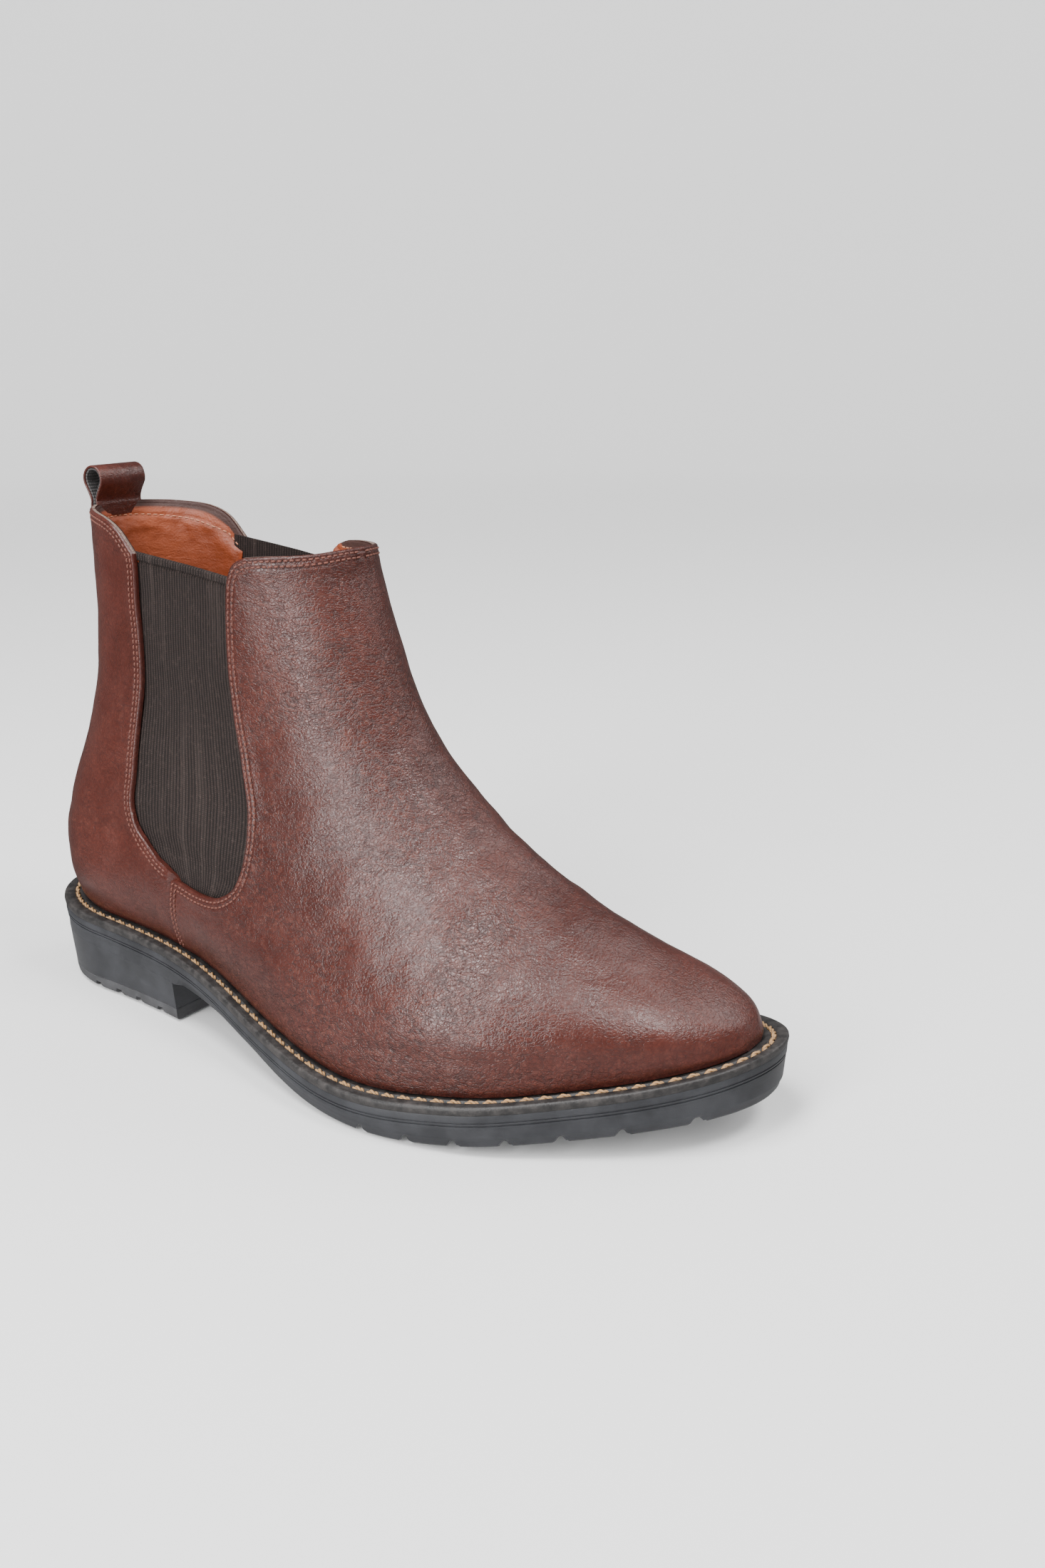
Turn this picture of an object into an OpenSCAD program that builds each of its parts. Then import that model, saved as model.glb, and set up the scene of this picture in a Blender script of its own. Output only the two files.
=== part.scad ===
// Chelsea boot, right foot: +X runs to the toe, +Y to the inner side of the foot, +Z up.
// The origin is on the floor at the centre of the boot's box.

/* [Upper] */
// Thickness of the outer leather
leather = 1.6; // [1.2:0.1:2.0]
// Thickness of the counter, toe puff and loop tail under the leather
stiffener = 1.2; // [0.8:0.1:1.4]
// Thickness of the leather lining
lining = 1.0; // [0.6:0.1:1.4]
// Thickness of the elastic gore
elastic = 1.4; // [1.0:0.1:1.6]
// Gap between neighbouring panels along their edges
panel_gap = 0.4; // [0.3:0.05:0.8]

/* [Sole] */
// Width of the welt that shows round the upper
welt_lip = 6.5; // [5:0.5:8]
// Thickness of the welt strip
welt_thick = 3; // [2.5:0.1:3.5]
// Thickness of the grooved runner under the welt
runner_thick = 5; // [4:0.5:5.5]
// Thickness of the wearing layer of the heel
top_piece_thick = 5; // [3:0.5:7]
// Depth of the tread notches
notch_depth = 2.4; // [1:0.2:3]
// Distance from the centre of the boot back to the straight front of the heel
heel_breast = 68.5; // [64:0.5:74]

/* [Pull loop] */
// Width of the loop across the heel
loop_width = 22; // [16:1:26]
// Height of the loop above the collar
loop_height = 14; // [12:0.5:20]
// Outer depth of the loop at its round top
loop_depth = 10.6; // [10.4:0.2:14]
// Thickness of the loop's leather face, and of the webbing inside it
loop_leather = 1.1; // [0.8:0.1:1.3]
webbing = 0.8; // [0.5:0.1:1]

/* [Ankle] */
// Height of the bend at which the rear of the shaft leans back
bend_height = 95; // [92:1:100]

/* [Hidden] */

outer = -1;
inner = 1;
half_length = 154;
centre_y = 8.5;
clear = 0.2;
layer_gap = 0.15;
sole_gap = 0.2;
thread = 0.5;
thread_lift = 0.9;
lining_depth = leather + stiffener + 2 * layer_gap;
board_inset = welt_lip + lining_depth + lining + 3.4;
tread_notches = [41.5, 58.5, 74.5, 90, 105, 121, 139];
heel_notches = [-117.5, -105, -93, -79.5];

// Each curve below is a few [place, value] knots, joined by a smooth cubic.
// Height of the welt's top, and of the outsole's underside, along the boot
welt_top = [[-154, 33.5], [-110, 31], [-70, 29], [-40, 25], [-10, 18.5], [30, 14], [70, 16.5],
            [110, 22], [140, 27.5], [154, 31]];
underside = [[-154, 21], [-110, 18.5], [-70, 16.5], [-40, 13.5], [-20, 9], [0, 4], [20, 1],
             [42, 0], [62, 0.8], [82, 2.8], [105, 5.8], [130, 9.5], [154, 13]];
// Half width of the welt to the outer and the inner side of the foot's centre line
width_outer = [[-154, 34], [-100, 35], [-60, 40], [-20, 50.5], [20, 61], [45, 62.5], [75, 57.5],
               [110, 49], [154, 46]];
width_inner = [[-154, 33], [-100, 36], [-60, 34.5], [-20, 33], [20, 38], [60, 42], [110, 44],
               [154, 47]];
centre_line = [[-154, 0], [-40, 0], [20, 0], [80, 1.5], [154, 16]];
// Back line and front ridge of the upper, by height
back_line = [[28, -147], [50, -147], [75, -144], [100, -135], [130, -127], [160, -125],
             [190, -124.5]];
ridge_line = [[30, 146.5], [38, 142.5], [46, 130], [54, 114], [62, 97], [72, 76], [88, 51.5],
              [108, 29], [132, 15], [158, 5], [185, -3.5]];
// Half width of the shaft, and how far it rounds in from the ridge and from the back, by height
shaft_half = [[30, 31], [50, 34.5], [75, 35.5], [100, 32.5], [130, 28.5], [190, 29]];
ridge_round = [[30, 70], [45, 80], [60, 95], [75, 80], [95, 60], [120, 45], [190, 38]];
back_round = [[30, 38], [60, 36], [100, 40], [190, 42]];
// Rear and front edge of the gore's opening, by height
gore_rear = [[58, -62], [62.3, -67], [67.4, -76.4], [73, -83], [79, -86.5], [92, -86],
             [115, -83.6], [140, -82.6], [174.5, -82]];
gore_front = [[58, -38], [63, -30.3], [70, -26], [79, -25], [90, -26.4], [99, -29.4],
              [110, -33.2], [122, -37], [136, -39.2], [150, -39.3], [168, -37.6], [173, -35.5],
              [177.5, -30]];
gore_floor = 58;
gore_top_rear = 174;
gore_top_front = 169.5;
seam_foot = -68.5;
seam_head = -63.6;
// Top edge of the quarter, from the back to the gore
quarter_top = [[-126, 187.5], [-109, 187], [-98, 185.5], [-90, 182], [-82, 174.5]];
collar_back = 187.5;
collar_front = 180;
// Height on the ridge that each row of the vamp's grid runs to
ridge_rows = [[0, 31], [0.12, 46], [0.26, 57], [0.45, 73], [0.65, 98], [0.82, 130],
              [1, collar_front]];

function mix(a, b, t) = a + (b - a) * t;
function clamp01(t) = max(0, min(1, t));
function smooth(t) = let (c = clamp01(t)) c * c * (3 - 2 * c);
function knot(K, x, i = 0) = i >= len(K) - 2 || x < K[i + 1][0] ? i : knot(K, x, i + 1);
function slope(K, i) =
    let (a = max(0, i - 1), b = min(len(K) - 1, i + 1)) (K[b][1] - K[a][1]) / (K[b][0] - K[a][0]);
function curve(K, raw) =
    let (x = max(K[0][0], min(K[len(K) - 1][0], raw)), i = knot(K, x),
         h = K[i + 1][0] - K[i][0], t = (x - K[i][0]) / h)
    K[i][1] * (1 + 2 * t) * pow(1 - t, 2) + slope(K, i) * h * t * pow(1 - t, 2)
    + K[i + 1][1] * t * t * (3 - 2 * t) + slope(K, i + 1) * h * t * t * (t - 1);
function bow(t) = sqrt(max(0, 1 - pow(1 - clamp01(t), 2)));
function width(side, x) = curve(side == outer ? width_outer : width_inner, x);

// Edge of the sole, moved in by inset
function sole_y(side, x, inset) =
    centre_y + curve(centre_line, x) + side * (width(side, x) - inset)
    * bow((x + half_length - inset) / 38) * bow((half_length - inset - x) / 75);

// Half width of the upper at a place in its side view, at a depth below its outer face
function upper_half(side, x, z, depth) =
    let (rise = z - curve(welt_top, x), h = clamp01(rise / 40),
         foot = (width(side, x) - welt_lip - 31) * (1 - smooth(rise / 90)),
         front = curve(ridge_line, z + 0.85 * depth) - 0.85 * depth)
    (curve(shaft_half, z) + foot + 12 * h * (1 - h) - depth)
    * bow((x - curve(back_line, z) - depth) / curve(back_round, z))
    * bow((front - x) / curve(ridge_round, z));
function on_upper(side, p, depth) =
    [p.x, centre_y + curve(centre_line, p.x) + side * max(0.2, upper_half(side, p.x, p[1], depth)),
     p[1]];

// Side view of a panel: between its left and right edge, bent by B at its foot and T at its head
function fill(L, R, B, T, u, v) =
    (1 - v) * L + v * R + (1 - u) * B + u * T;
function ridge_point(z, depth) = [curve(ridge_line, z + 0.85 * depth) - 0.85 * depth, z];
function back_point(z, depth) = [curve(back_line, z) + depth, z];
function on_welt(x) = [x, curve(welt_top, x) + clear];

function vamp_edge(u) =
    u < 0.12 ? mix(on_welt(seam_foot), [seam_head, gore_floor], u / 0.12)
    : u < 0.26 ? [mix(seam_head, -38, (u - 0.12) / 0.14), gore_floor]
    : let (z = mix(gore_floor, 177.5, (u - 0.26) / 0.74)) [curve(gore_front, z), z];
function vamp_place(u, v, depth) =
    let (L = vamp_edge(u), R = ridge_point(curve(ridge_rows, u), depth),
         foot_l = vamp_edge(0), foot_r = ridge_point(31, depth),
         B = on_welt(mix(foot_l.x, foot_r.x, v)) - mix(foot_l, foot_r, v))
    fill(L, R, B, [0, 0], u, v);

function seam_or_gore(u, top) =
    u < 0.4 ? mix(on_welt(seam_foot), [seam_head, gore_floor], u / 0.4)
    : let (z = mix(gore_floor, top, (u - 0.4) / 0.6)) [curve(gore_rear, z), z];
function heel_place(u, v, depth) =
    let (top = bend_height - panel_gap, heel = back_point(33.5, depth),
         L = back_point(mix(heel[1], top, u), depth), R = seam_or_gore(u, top) - [panel_gap, 0],
         B = on_welt(mix(heel.x, seam_foot - panel_gap, v))
             - mix(heel, on_welt(seam_foot - panel_gap), v))
    fill(L, R, B, [0, 0], u, v);
function shaft_place(u, v, depth) =
    let (zr = mix(bend_height, 174.5, u), L = back_point(mix(bend_height, collar_back, u), depth),
         R = [curve(gore_rear, zr) - panel_gap, zr],
         head_l = back_point(collar_back, depth), head_r = [curve(gore_rear, 174.5), 174.5],
         x = mix(head_l.x, head_r.x, v),
         T = [x, curve(quarter_top, x)] - mix(head_l, head_r, v))
    fill(L, R, [0, 0], T, u, v);
function gore_place(u, v, depth) =
    let (zl = mix(gore_floor + 2 * panel_gap, gore_top_rear, u),
         zr = mix(gore_floor + 2 * panel_gap, gore_top_front, u))
    fill([curve(gore_rear, zl) + panel_gap, zl], [curve(gore_front, zr) - panel_gap, zr],
         [0, 0], [0, 0], u, v);

// A sheet between two grids of points: each grid is a list of rows of the same size
module sheet(face, back) {
    rows = len(face);
    cols = len(face[0]);
    n = rows * cols;
    points = concat([for (row = face) each row], [for (row = back) each row]);
    function at(i, j) = i * cols + j;
    skin = [for (i = [0:rows - 2]) for (j = [0:cols - 2])
            each [[at(i, j), at(i + 1, j), at(i + 1, j + 1)], [at(i, j), at(i + 1, j + 1), at(i, j + 1)]]];
    rim = concat([for (j = [0:cols - 1]) at(0, j)],
                 [for (i = [1:rows - 1]) at(i, cols - 1)],
                 [for (j = [cols - 2:-1:0]) at(rows - 1, j)],
                 [for (i = [rows - 2:-1:1]) at(i, 0)]);
    m = len(rim);
    walls = [for (k = [0:m - 1]) let (a = rim[k], b = rim[(k + 1) % m])
             each [[a, b, b + n], [a, b + n, a + n]]];
    polyhedron(points, concat(skin, [for (f = skin) [f[0] + n, f[2] + n, f[1] + n]], walls),
               convexity = 6);
}

// The kinds of panel, each with its own place function
VAMP = 0;
HEEL = 1;
SHAFT = 2;
GORE = 3;
function place(kind, u, v, depth) =
    kind == VAMP ? vamp_place(u, v, depth) : kind == HEEL ? heel_place(u, v, depth)
    : kind == SHAFT ? shaft_place(u, v, depth) : gore_place(u, v, depth);
// Columns crowd towards the ridge of the vamp and the back of the quarter, where the leather turns
function column(kind, t) =
    kind == VAMP ? sin(90 * t) : kind == GORE ? t : 1 - cos(90 * t);
function spot(kind, side, u, t, depth) = on_upper(side, place(kind, u, column(kind, t), depth), depth);

// One side of a panel, between depths, over a part u0..u1, t0..t1 of its patch
module panel(kind, side, depth, thick, rows, cols, u0 = 0, u1 = 1, t0 = 0, t1 = 1) {
    function grid(d) = [for (i = [0:rows]) [for (j = [0:cols])
        spot(kind, side, mix(u0, u1, i / rows), side == outer ? mix(t0, t1, j / cols)
             : mix(t1, t0, j / cols), d)]];
    sheet(grid(depth + thick), grid(depth));
}
// Both sides of a panel in one piece, joined at the ridge (t1 = 1) or at the back (t0 = 0)
module wrap(kind, depth, thick, rows, cols, u0 = 0, u1 = 1, t0 = 0, t1 = 1) {
    ridge = kind == VAMP;
    far = ridge ? t0 : t1;
    near = ridge ? t1 : t0;
    first = ridge ? outer : inner;
    function grid(d) = [for (i = [0:rows]) [for (k = [0:2 * cols]) let (j = abs(k - cols) / cols)
        k == cols ? let (p = place(kind, mix(u0, u1, i / rows), column(kind, near), d))
                    [p.x, centre_y + curve(centre_line, p.x), p[1]]
        : spot(kind, k < cols ? first : -first, mix(u0, u1, i / rows), mix(near, far, j), d)]];
    sheet(grid(depth + thick), grid(depth));
}

// Stations along the sole, crowded at the round heel and toe ends
function round_ends(x0, x1, n, from = 1, to = 179) =
    [for (i = [0:n]) mix(x0, x1, (1 - cos(mix(from, to, i / n))) / 2)];
// A layer of the sole between two heights, each a list with one value per station
module slab(xs, low, high, inset_low, inset_high) {
    n = len(xs);
    last = n - 1;
    points = concat([for (i = [0:last]) [xs[i], sole_y(outer, xs[i], inset_low), low[i]]],
                    [for (i = [0:last]) [xs[i], sole_y(outer, xs[i], inset_high), high[i]]],
                    [for (i = [0:last]) [xs[i], sole_y(inner, xs[i], inset_high), high[i]]],
                    [for (i = [0:last]) [xs[i], sole_y(inner, xs[i], inset_low), low[i]]]);
    sides = [for (i = [0:last - 1]) for (k = [0:3]) let (a = k * n + i, b = ((k + 1) % 4) * n + i)
             each [[a, b, b + 1], [a, b + 1, a + 1]]];
    ends = [[3 * n, 2 * n, n, 0], [last, n + last, 2 * n + last, 3 * n + last]];
    polyhedron(points, concat(sides, ends), convexity = 6);
}
// A closed strip round the sole, between two insets and two heights below the welt's top
module strip(inset_out, inset_in, low, high, n) {
    function loop(inset, drop) =
        let (xs = round_ends(-half_length + inset, half_length - inset, n))
        concat([for (x = xs) [x, sole_y(outer, x, inset), curve(welt_top, x) + drop]],
               [for (i = [n:-1:0]) [xs[i], sole_y(inner, xs[i], inset), curve(welt_top, xs[i]) + drop]]);
    m = 2 * (n + 1);
    points = concat(loop(inset_out, low), loop(inset_out, high), loop(inset_in, high),
                    loop(inset_in, low));
    polyhedron(points, [for (i = [0:m - 1]) for (k = [0:3])
        let (a = k * m + i, b = ((k + 1) % 4) * m + i, c = k * m + (i + 1) % m,
             d = ((k + 1) % 4) * m + (i + 1) % m)
        each [[a, b, d], [a, d, c]]], convexity = 6);
}
function heights(K, xs, add = 0) = [for (x = xs) curve(K, x) + add];

// Rubber outsole, whole length, with notches across the tread of the forepart
module outsole() {
    bar = 2.2;
    tread_start = tread_notches[0] - bar;
    last = len(tread_notches) - 1;
    toe = tread_notches[last] + bar;
    xs = concat(round_ends(-half_length + 1, tread_start - 5, 20, 1, 150),
                [for (k = [0:last]) let (c = tread_notches[k]) each [c - bar, c - 0.7, c + 0.7, c + bar]],
                [for (i = [1:6]) mix(toe, half_length - 1.01, sin(15 * i))]);
    function notch(x) = notch_depth * max([for (c = tread_notches) clamp01((bar - abs(x - c)) / 1.5)]);
    low = [for (x = xs) curve(underside, x) + notch(x)];
    color([0.13, 0.13, 0.14])
        slab(xs, low, heights(welt_top, xs, -welt_thick - runner_thick - sole_gap), 1.6, 0.9);
}
module runner() {
    xs = round_ends(-half_length + 0.6, half_length - 0.6, 34);
    color([0.1, 0.1, 0.1])
        slab(xs, heights(welt_top, xs, -welt_thick - runner_thick),
             heights(welt_top, xs, -welt_thick - sole_gap), 0.6, 0.5);
}
module heel_block() {
    xs = concat(round_ends(-half_length + 2.2, -heel_breast, 14, 1, 100), [-heel_breast]);
    color([0.12, 0.12, 0.13])
        slab(xs, [for (x = xs) top_piece_thick + clear], heights(underside, xs, -sole_gap), 2.2, 1.6);
}
// Wearing layer of the heel: flat underside on the floor, with a notch at each place in heel_notches
module heel_top_piece() {
    xs = concat(round_ends(-half_length + 3.2, -heel_breast, 18, 1, 100), [-heel_breast]);
    n = len(xs) - 1;
    rim = concat([for (x = xs) [x, sole_y(outer, x, 3.2)]],
                 [for (i = [n:-1:0]) [xs[i], sole_y(inner, xs[i], 3.2)]]);
    color([0.16, 0.16, 0.17])
    difference() {
        linear_extrude(top_piece_thick) polygon(rim);
        for (x = heel_notches, y = [-40, 26])
            translate([x - 2, centre_y + y, -1]) cube([4, 14, 1 + notch_depth]);
    }
}
module welt() {
    color([0.07, 0.065, 0.06]) strip(0, 13, -welt_thick, 0, 34);
}
module welt_thread() {
    color([0.72, 0.56, 0.36]) strip(3, 4.2, 0.1, 0.7, 34);
}
module bottom_filler() {
    xs = [for (i = [0:12]) mix(-5, half_length - 16, sin(7.5 * i))];
    color([0.55, 0.4, 0.25])
        slab(xs, heights(welt_top, xs, -welt_thick + clear), heights(welt_top, xs, -clear), 15, 15);
}
// Spring steel strip that keeps the waist from sagging
module shank() {
    xs = [for (i = [0:12]) mix(-100, -12, i / 12)];
    n = len(xs);
    function corner(x, y, rise) = [x, centre_y + y, curve(welt_top, x) + rise];
    points = concat([for (x = xs) corner(x, -7, -2.2)], [for (x = xs) corner(x, -7, -0.6)],
                    [for (x = xs) corner(x, 7, -0.6)], [for (x = xs) corner(x, 7, -2.2)]);
    color([0.6, 0.62, 0.64])
    polyhedron(points, concat([for (i = [0:n - 2]) for (k = [0:3])
        let (a = k * n + i, b = ((k + 1) % 4) * n + i) each [[a, b, b + 1], [a, b + 1, a + 1]]],
        [[3 * n, 2 * n, n, 0], [n - 1, 2 * n - 1, 3 * n - 1, 4 * n - 1]]), convexity = 4);
}
// Five nails driven down through the heel seat, heads under the insole board
module heel_nails() {
    color([0.7, 0.7, 0.68])
    for (p = [[-132, 0], [-116, -14], [-116, 14], [-92, -15], [-92, 15]])
        translate([p.x, centre_y + p[1], curve(welt_top, p.x) - welt_thick + 0.15]) {
            cylinder(d = 1.8, h = 1.2, $fn = 24);
            translate([0, 0, 1.2]) cylinder(d = 4, h = 0.8, $fn = 24);
        }
}
module insole_board() {
    xs = round_ends(-half_length + board_inset, half_length - board_inset, 26);
    color([0.62, 0.5, 0.36])
        slab(xs, heights(welt_top, xs, 0.15), heights(welt_top, xs, 2.2), board_inset, board_inset);
}
module sock_liner() {
    inset = board_inset + 1;
    xs = round_ends(-half_length + inset, half_length - inset, 26);
    color([0.72, 0.36, 0.16])
        slab(xs, heights(welt_top, xs, 2.35), heights(welt_top, xs, 4.4), inset, inset + 0.6);
}
module vamp() { color([0.36, 0.16, 0.13]) wrap(VAMP, 0, leather, 24, 14); }
module vamp_lining() { color([0.72, 0.36, 0.16]) wrap(VAMP, lining_depth, lining, 24, 14); }
module toe_puff() {
    color([0.8, 0.75, 0.65]) wrap(VAMP, leather + layer_gap, stiffener, 6, 8, 0, 0.25, 3 / 7, 1);
}
module heel_counter() {
    color([0.8, 0.75, 0.65]) wrap(HEEL, leather + layer_gap, stiffener, 8, 7, 0, 0.8, 0, 6 / 7);
}
module quarter_heel_outer() { color([0.36, 0.16, 0.13]) panel(HEEL, outer, 0, leather, 10, 8); }
module quarter_heel_inner() { color([0.34, 0.15, 0.12]) panel(HEEL, inner, 0, leather, 10, 8); }
module quarter_shaft_outer() { color([0.36, 0.16, 0.13]) panel(SHAFT, outer, 0, leather, 12, 8); }
module quarter_shaft_inner() { color([0.34, 0.15, 0.12]) panel(SHAFT, inner, 0, leather, 12, 8); }
module lining_heel() { color([0.72, 0.36, 0.16]) wrap(HEEL, lining_depth, lining, 10, 8); }
module lining_shaft() { color([0.72, 0.36, 0.16]) wrap(SHAFT, lining_depth, lining, 12, 8, 0, 0.98); }
// Thread that lies proud of the leather, in a band beside the panel's edge
module vamp_band(side) {
    color([0.6, 0.36, 0.26]) panel(VAMP, side, -thread_lift, thread, 24, 1, 0.12, 0.98, 0.02, 0.045);
}
module vamp_stitching_outer() { vamp_band(outer); }
module vamp_stitching_inner() { vamp_band(inner); }
module quarter_band(side) {
    color([0.6, 0.36, 0.26]) panel(SHAFT, side, -thread_lift, thread, 12, 1, 0.02, 0.98, 0.9, 0.96);
}
module quarter_stitching_outer() { quarter_band(outer); }
module quarter_stitching_inner() { quarter_band(inner); }
module gore_outer() { color([0.15, 0.11, 0.1]) panel(GORE, outer, 0.1, elastic, 14, 4); }
module gore_inner() { color([0.15, 0.11, 0.1]) panel(GORE, inner, 0.1, elastic, 14, 4); }
// The sewn-in ends of the pull loop, between the quarter and its lining
module loop_tail() {
    color([0.2, 0.18, 0.17]) wrap(SHAFT, leather + layer_gap, stiffener, 3, 3, 0.82, 0.97, 0, 0.4);
}

// Side view of the loop: a round top that narrows to a round foot, which it folds about
module loop_profile(shrink) {
    foot = loop_leather + webbing + 0.5;
    hull() {
        translate([0, loop_height - loop_depth / 2]) circle(r = loop_depth / 2 - shrink, $fn = 48);
        translate([0, foot]) circle(r = foot - shrink, $fn = 32);
    }
}
module loop_ring(shrink, thick) {
    translate([back_point(collar_back, 0).x + 2.6, centre_y + loop_width / 2, collar_back + 0.8])
    rotate([90, 0, 0])
    linear_extrude(loop_width)
    difference() {
        loop_profile(shrink);
        loop_profile(shrink + thick);
    }
}
module pull_loop() { color([0.34, 0.15, 0.12]) loop_ring(0, loop_leather); }
module pull_loop_webbing() { color([0.25, 0.25, 0.26]) loop_ring(loop_leather, webbing); }

outsole();
heel_block();
heel_top_piece();
runner();
welt();
welt_thread();
bottom_filler();
shank();
heel_nails();
insole_board();
sock_liner();
vamp();
vamp_lining();
toe_puff();
vamp_stitching_outer();
vamp_stitching_inner();
quarter_heel_outer();
quarter_heel_inner();
quarter_shaft_outer();
quarter_shaft_inner();
heel_counter();
lining_heel();
lining_shaft();
quarter_stitching_outer();
quarter_stitching_inner();
gore_outer();
gore_inner();
loop_tail();
pull_loop();
pull_loop_webbing();
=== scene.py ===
"""Chelsea boot for the right foot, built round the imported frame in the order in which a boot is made."""

import math

import bmesh
import bpy
import numpy as np
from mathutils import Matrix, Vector, noise


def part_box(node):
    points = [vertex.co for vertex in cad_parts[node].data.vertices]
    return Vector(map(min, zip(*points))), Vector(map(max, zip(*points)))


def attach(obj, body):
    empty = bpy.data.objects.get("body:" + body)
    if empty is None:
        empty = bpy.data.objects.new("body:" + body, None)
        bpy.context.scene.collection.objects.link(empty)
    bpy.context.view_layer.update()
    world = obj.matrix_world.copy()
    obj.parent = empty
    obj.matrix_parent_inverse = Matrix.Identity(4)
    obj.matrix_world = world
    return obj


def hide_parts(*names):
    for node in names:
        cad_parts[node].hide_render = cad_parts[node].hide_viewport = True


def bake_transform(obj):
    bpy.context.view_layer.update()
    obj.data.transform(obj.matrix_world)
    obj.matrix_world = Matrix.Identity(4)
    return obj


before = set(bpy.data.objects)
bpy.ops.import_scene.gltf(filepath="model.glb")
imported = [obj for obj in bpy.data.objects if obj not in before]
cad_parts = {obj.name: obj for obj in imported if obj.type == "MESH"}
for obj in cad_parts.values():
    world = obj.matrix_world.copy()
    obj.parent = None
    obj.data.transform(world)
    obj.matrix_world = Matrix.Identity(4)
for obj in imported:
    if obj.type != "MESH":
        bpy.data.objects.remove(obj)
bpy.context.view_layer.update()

# ---------------------------------------------------------------------------
# Room: a pale floor that sweeps up into a wall all round, soft lamps and the
# camera. None of it belongs to the boot.
# ---------------------------------------------------------------------------
MM = 0.001
heel_line = (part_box("pull_loop")[0].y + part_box("pull_loop")[1].y) / 2 / MM


def lamp(name, size, power, azimuth, elevation, distance, aim=(0.02, 0.0, 0.08)):
    data = bpy.data.lights.new(name, "AREA")
    data.shape = "RECTANGLE"
    data.size, data.size_y = size
    data.energy = power
    a, e = math.radians(azimuth), math.radians(elevation)
    away = Vector((math.sin(a) * math.cos(e), -math.cos(a) * math.cos(e), math.sin(e)))
    holder = bpy.data.objects.new(name, data)
    holder.location = Vector(aim) + away * distance
    holder.rotation_euler = away.to_track_quat("Z", "Y").to_euler()
    bpy.context.scene.collection.objects.link(holder)
    return holder


def floor_dish():
    mesh = bpy.data.meshes.new("floor")
    flat, sweep, sides = 2.6, 1.4, 96
    profile = [(flat * k / 4, 0.0) for k in range(1, 5)]
    profile += [(flat + sweep * math.sin(a), sweep * (1 - math.cos(a)))
                for a in (math.pi / 24 * k for k in range(1, 13))]
    points = [(r * math.cos(t), r * math.sin(t), z - 0.0004)
              for r, z in profile + [(flat + sweep, 3.0)]
              for t in (2 * math.pi * k / sides for k in range(sides))]
    faces = [tuple(range(sides))]
    for row in range(len(points) // sides - 1):
        for k in range(sides):
            a, b = row * sides + k, row * sides + (k + 1) % sides
            faces.append((a, a + sides, b + sides, b))
    mesh.from_pydata(points, [], faces)
    for polygon in mesh.polygons:
        polygon.use_smooth = True
    dish = bpy.data.objects.new("floor", mesh)
    bpy.context.scene.collection.objects.link(dish)
    paint = bpy.data.materials.new("pale_floor")
    paint.use_nodes = True
    nodes, links = paint.node_tree.nodes, paint.node_tree.links
    shader = nodes["Principled BSDF"]
    shader.inputs["Base Color"].default_value = (0.82, 0.82, 0.82, 1)
    shader.inputs["Roughness"].default_value = 0.9
    shader.inputs["Emission Strength"].default_value = 1.0
    place = nodes.new("ShaderNodeTexCoord")
    reach = nodes.new("ShaderNodeVectorMath")
    reach.operation = "LENGTH"
    glow = nodes.new("ShaderNodeMapRange")
    for key, value in (("From Min", 0.3), ("From Max", 2.4), ("To Min", 0.0), ("To Max", 0.6)):
        glow.inputs[key].default_value = value
    links.new(place.outputs["Object"], reach.inputs[0])
    links.new(reach.outputs["Value"], glow.inputs["Value"])
    links.new(glow.outputs["Result"], shader.inputs["Emission Color"])
    mesh.materials.append(paint)
    dish.visible_glossy = False


def card():
    """A glowing card on the floor before the toe, seen only as a reflection."""
    mesh = bpy.data.meshes.new("card")
    corners = [(-0.2, -1.0), (0.9, -1.0), (0.9, 0.3), (-0.2, 0.3)]
    mesh.from_pydata([(x, y, -0.0002) for x, y in corners], [], [(0, 1, 2, 3)])
    sheet = bpy.data.objects.new("card", mesh)
    bpy.context.scene.collection.objects.link(sheet)
    paper = bpy.data.materials.new("card")
    paper.use_nodes = True
    shader = paper.node_tree.nodes["Principled BSDF"]
    shader.inputs["Base Color"].default_value = (0, 0, 0, 1)
    shader.inputs["Emission Color"].default_value = (1, 1, 1, 1)
    shader.inputs["Emission Strength"].default_value = 0.6
    mesh.materials.append(paper)
    for rays in ("camera", "diffuse", "shadow", "transmission"):
        setattr(sheet, "visible_" + rays, False)


floor_dish()
card()
lamp("front", (0.5, 1.8), 45, -4, 26, 1.6)
lamp("top", (0.55, 0.55), 24, -14, 72, 1.5)
lamp("right", (0.45, 0.45), 16, 94, 58, 1.6)
lamp("back", (0.9, 0.9), 9, 150, 40, 1.6)
world = bpy.data.worlds.new("sky")
world.use_nodes = True
world.node_tree.nodes["Background"].inputs["Color"].default_value = (1.0, 1.0, 1.0, 1)
world.node_tree.nodes["Background"].inputs["Strength"].default_value = 0.18
bpy.context.scene.world = world

camera_data = bpy.data.cameras.new("camera")
camera_data.lens = 34.92
camera_data.sensor_width = 36
camera_data.clip_start = 0.01
camera = bpy.data.objects.new("camera", camera_data)
camera_azimuth, camera_elevation, camera_distance = math.radians(34.15), math.radians(16.76), 0.501
camera_aim = Vector((0.0645, heel_line * MM, 0.1072))
to_camera = Vector((
    math.sin(camera_azimuth) * math.cos(camera_elevation),
    -math.cos(camera_azimuth) * math.cos(camera_elevation),
    math.sin(camera_elevation),
))
camera.location = camera_aim + to_camera * camera_distance
camera.rotation_euler = to_camera.to_track_quat("Z", "Y").to_euler()
bpy.context.scene.collection.objects.link(camera)
bpy.context.scene.camera = camera

# ---------------------------------------------------------------------------
# Insole board, shank, filler, nails, toe puff and heel counter: the hidden
# inside of the boot. They keep their CAD solids and get board, steel, cork
# and stiffener finishes.
# ---------------------------------------------------------------------------


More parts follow.
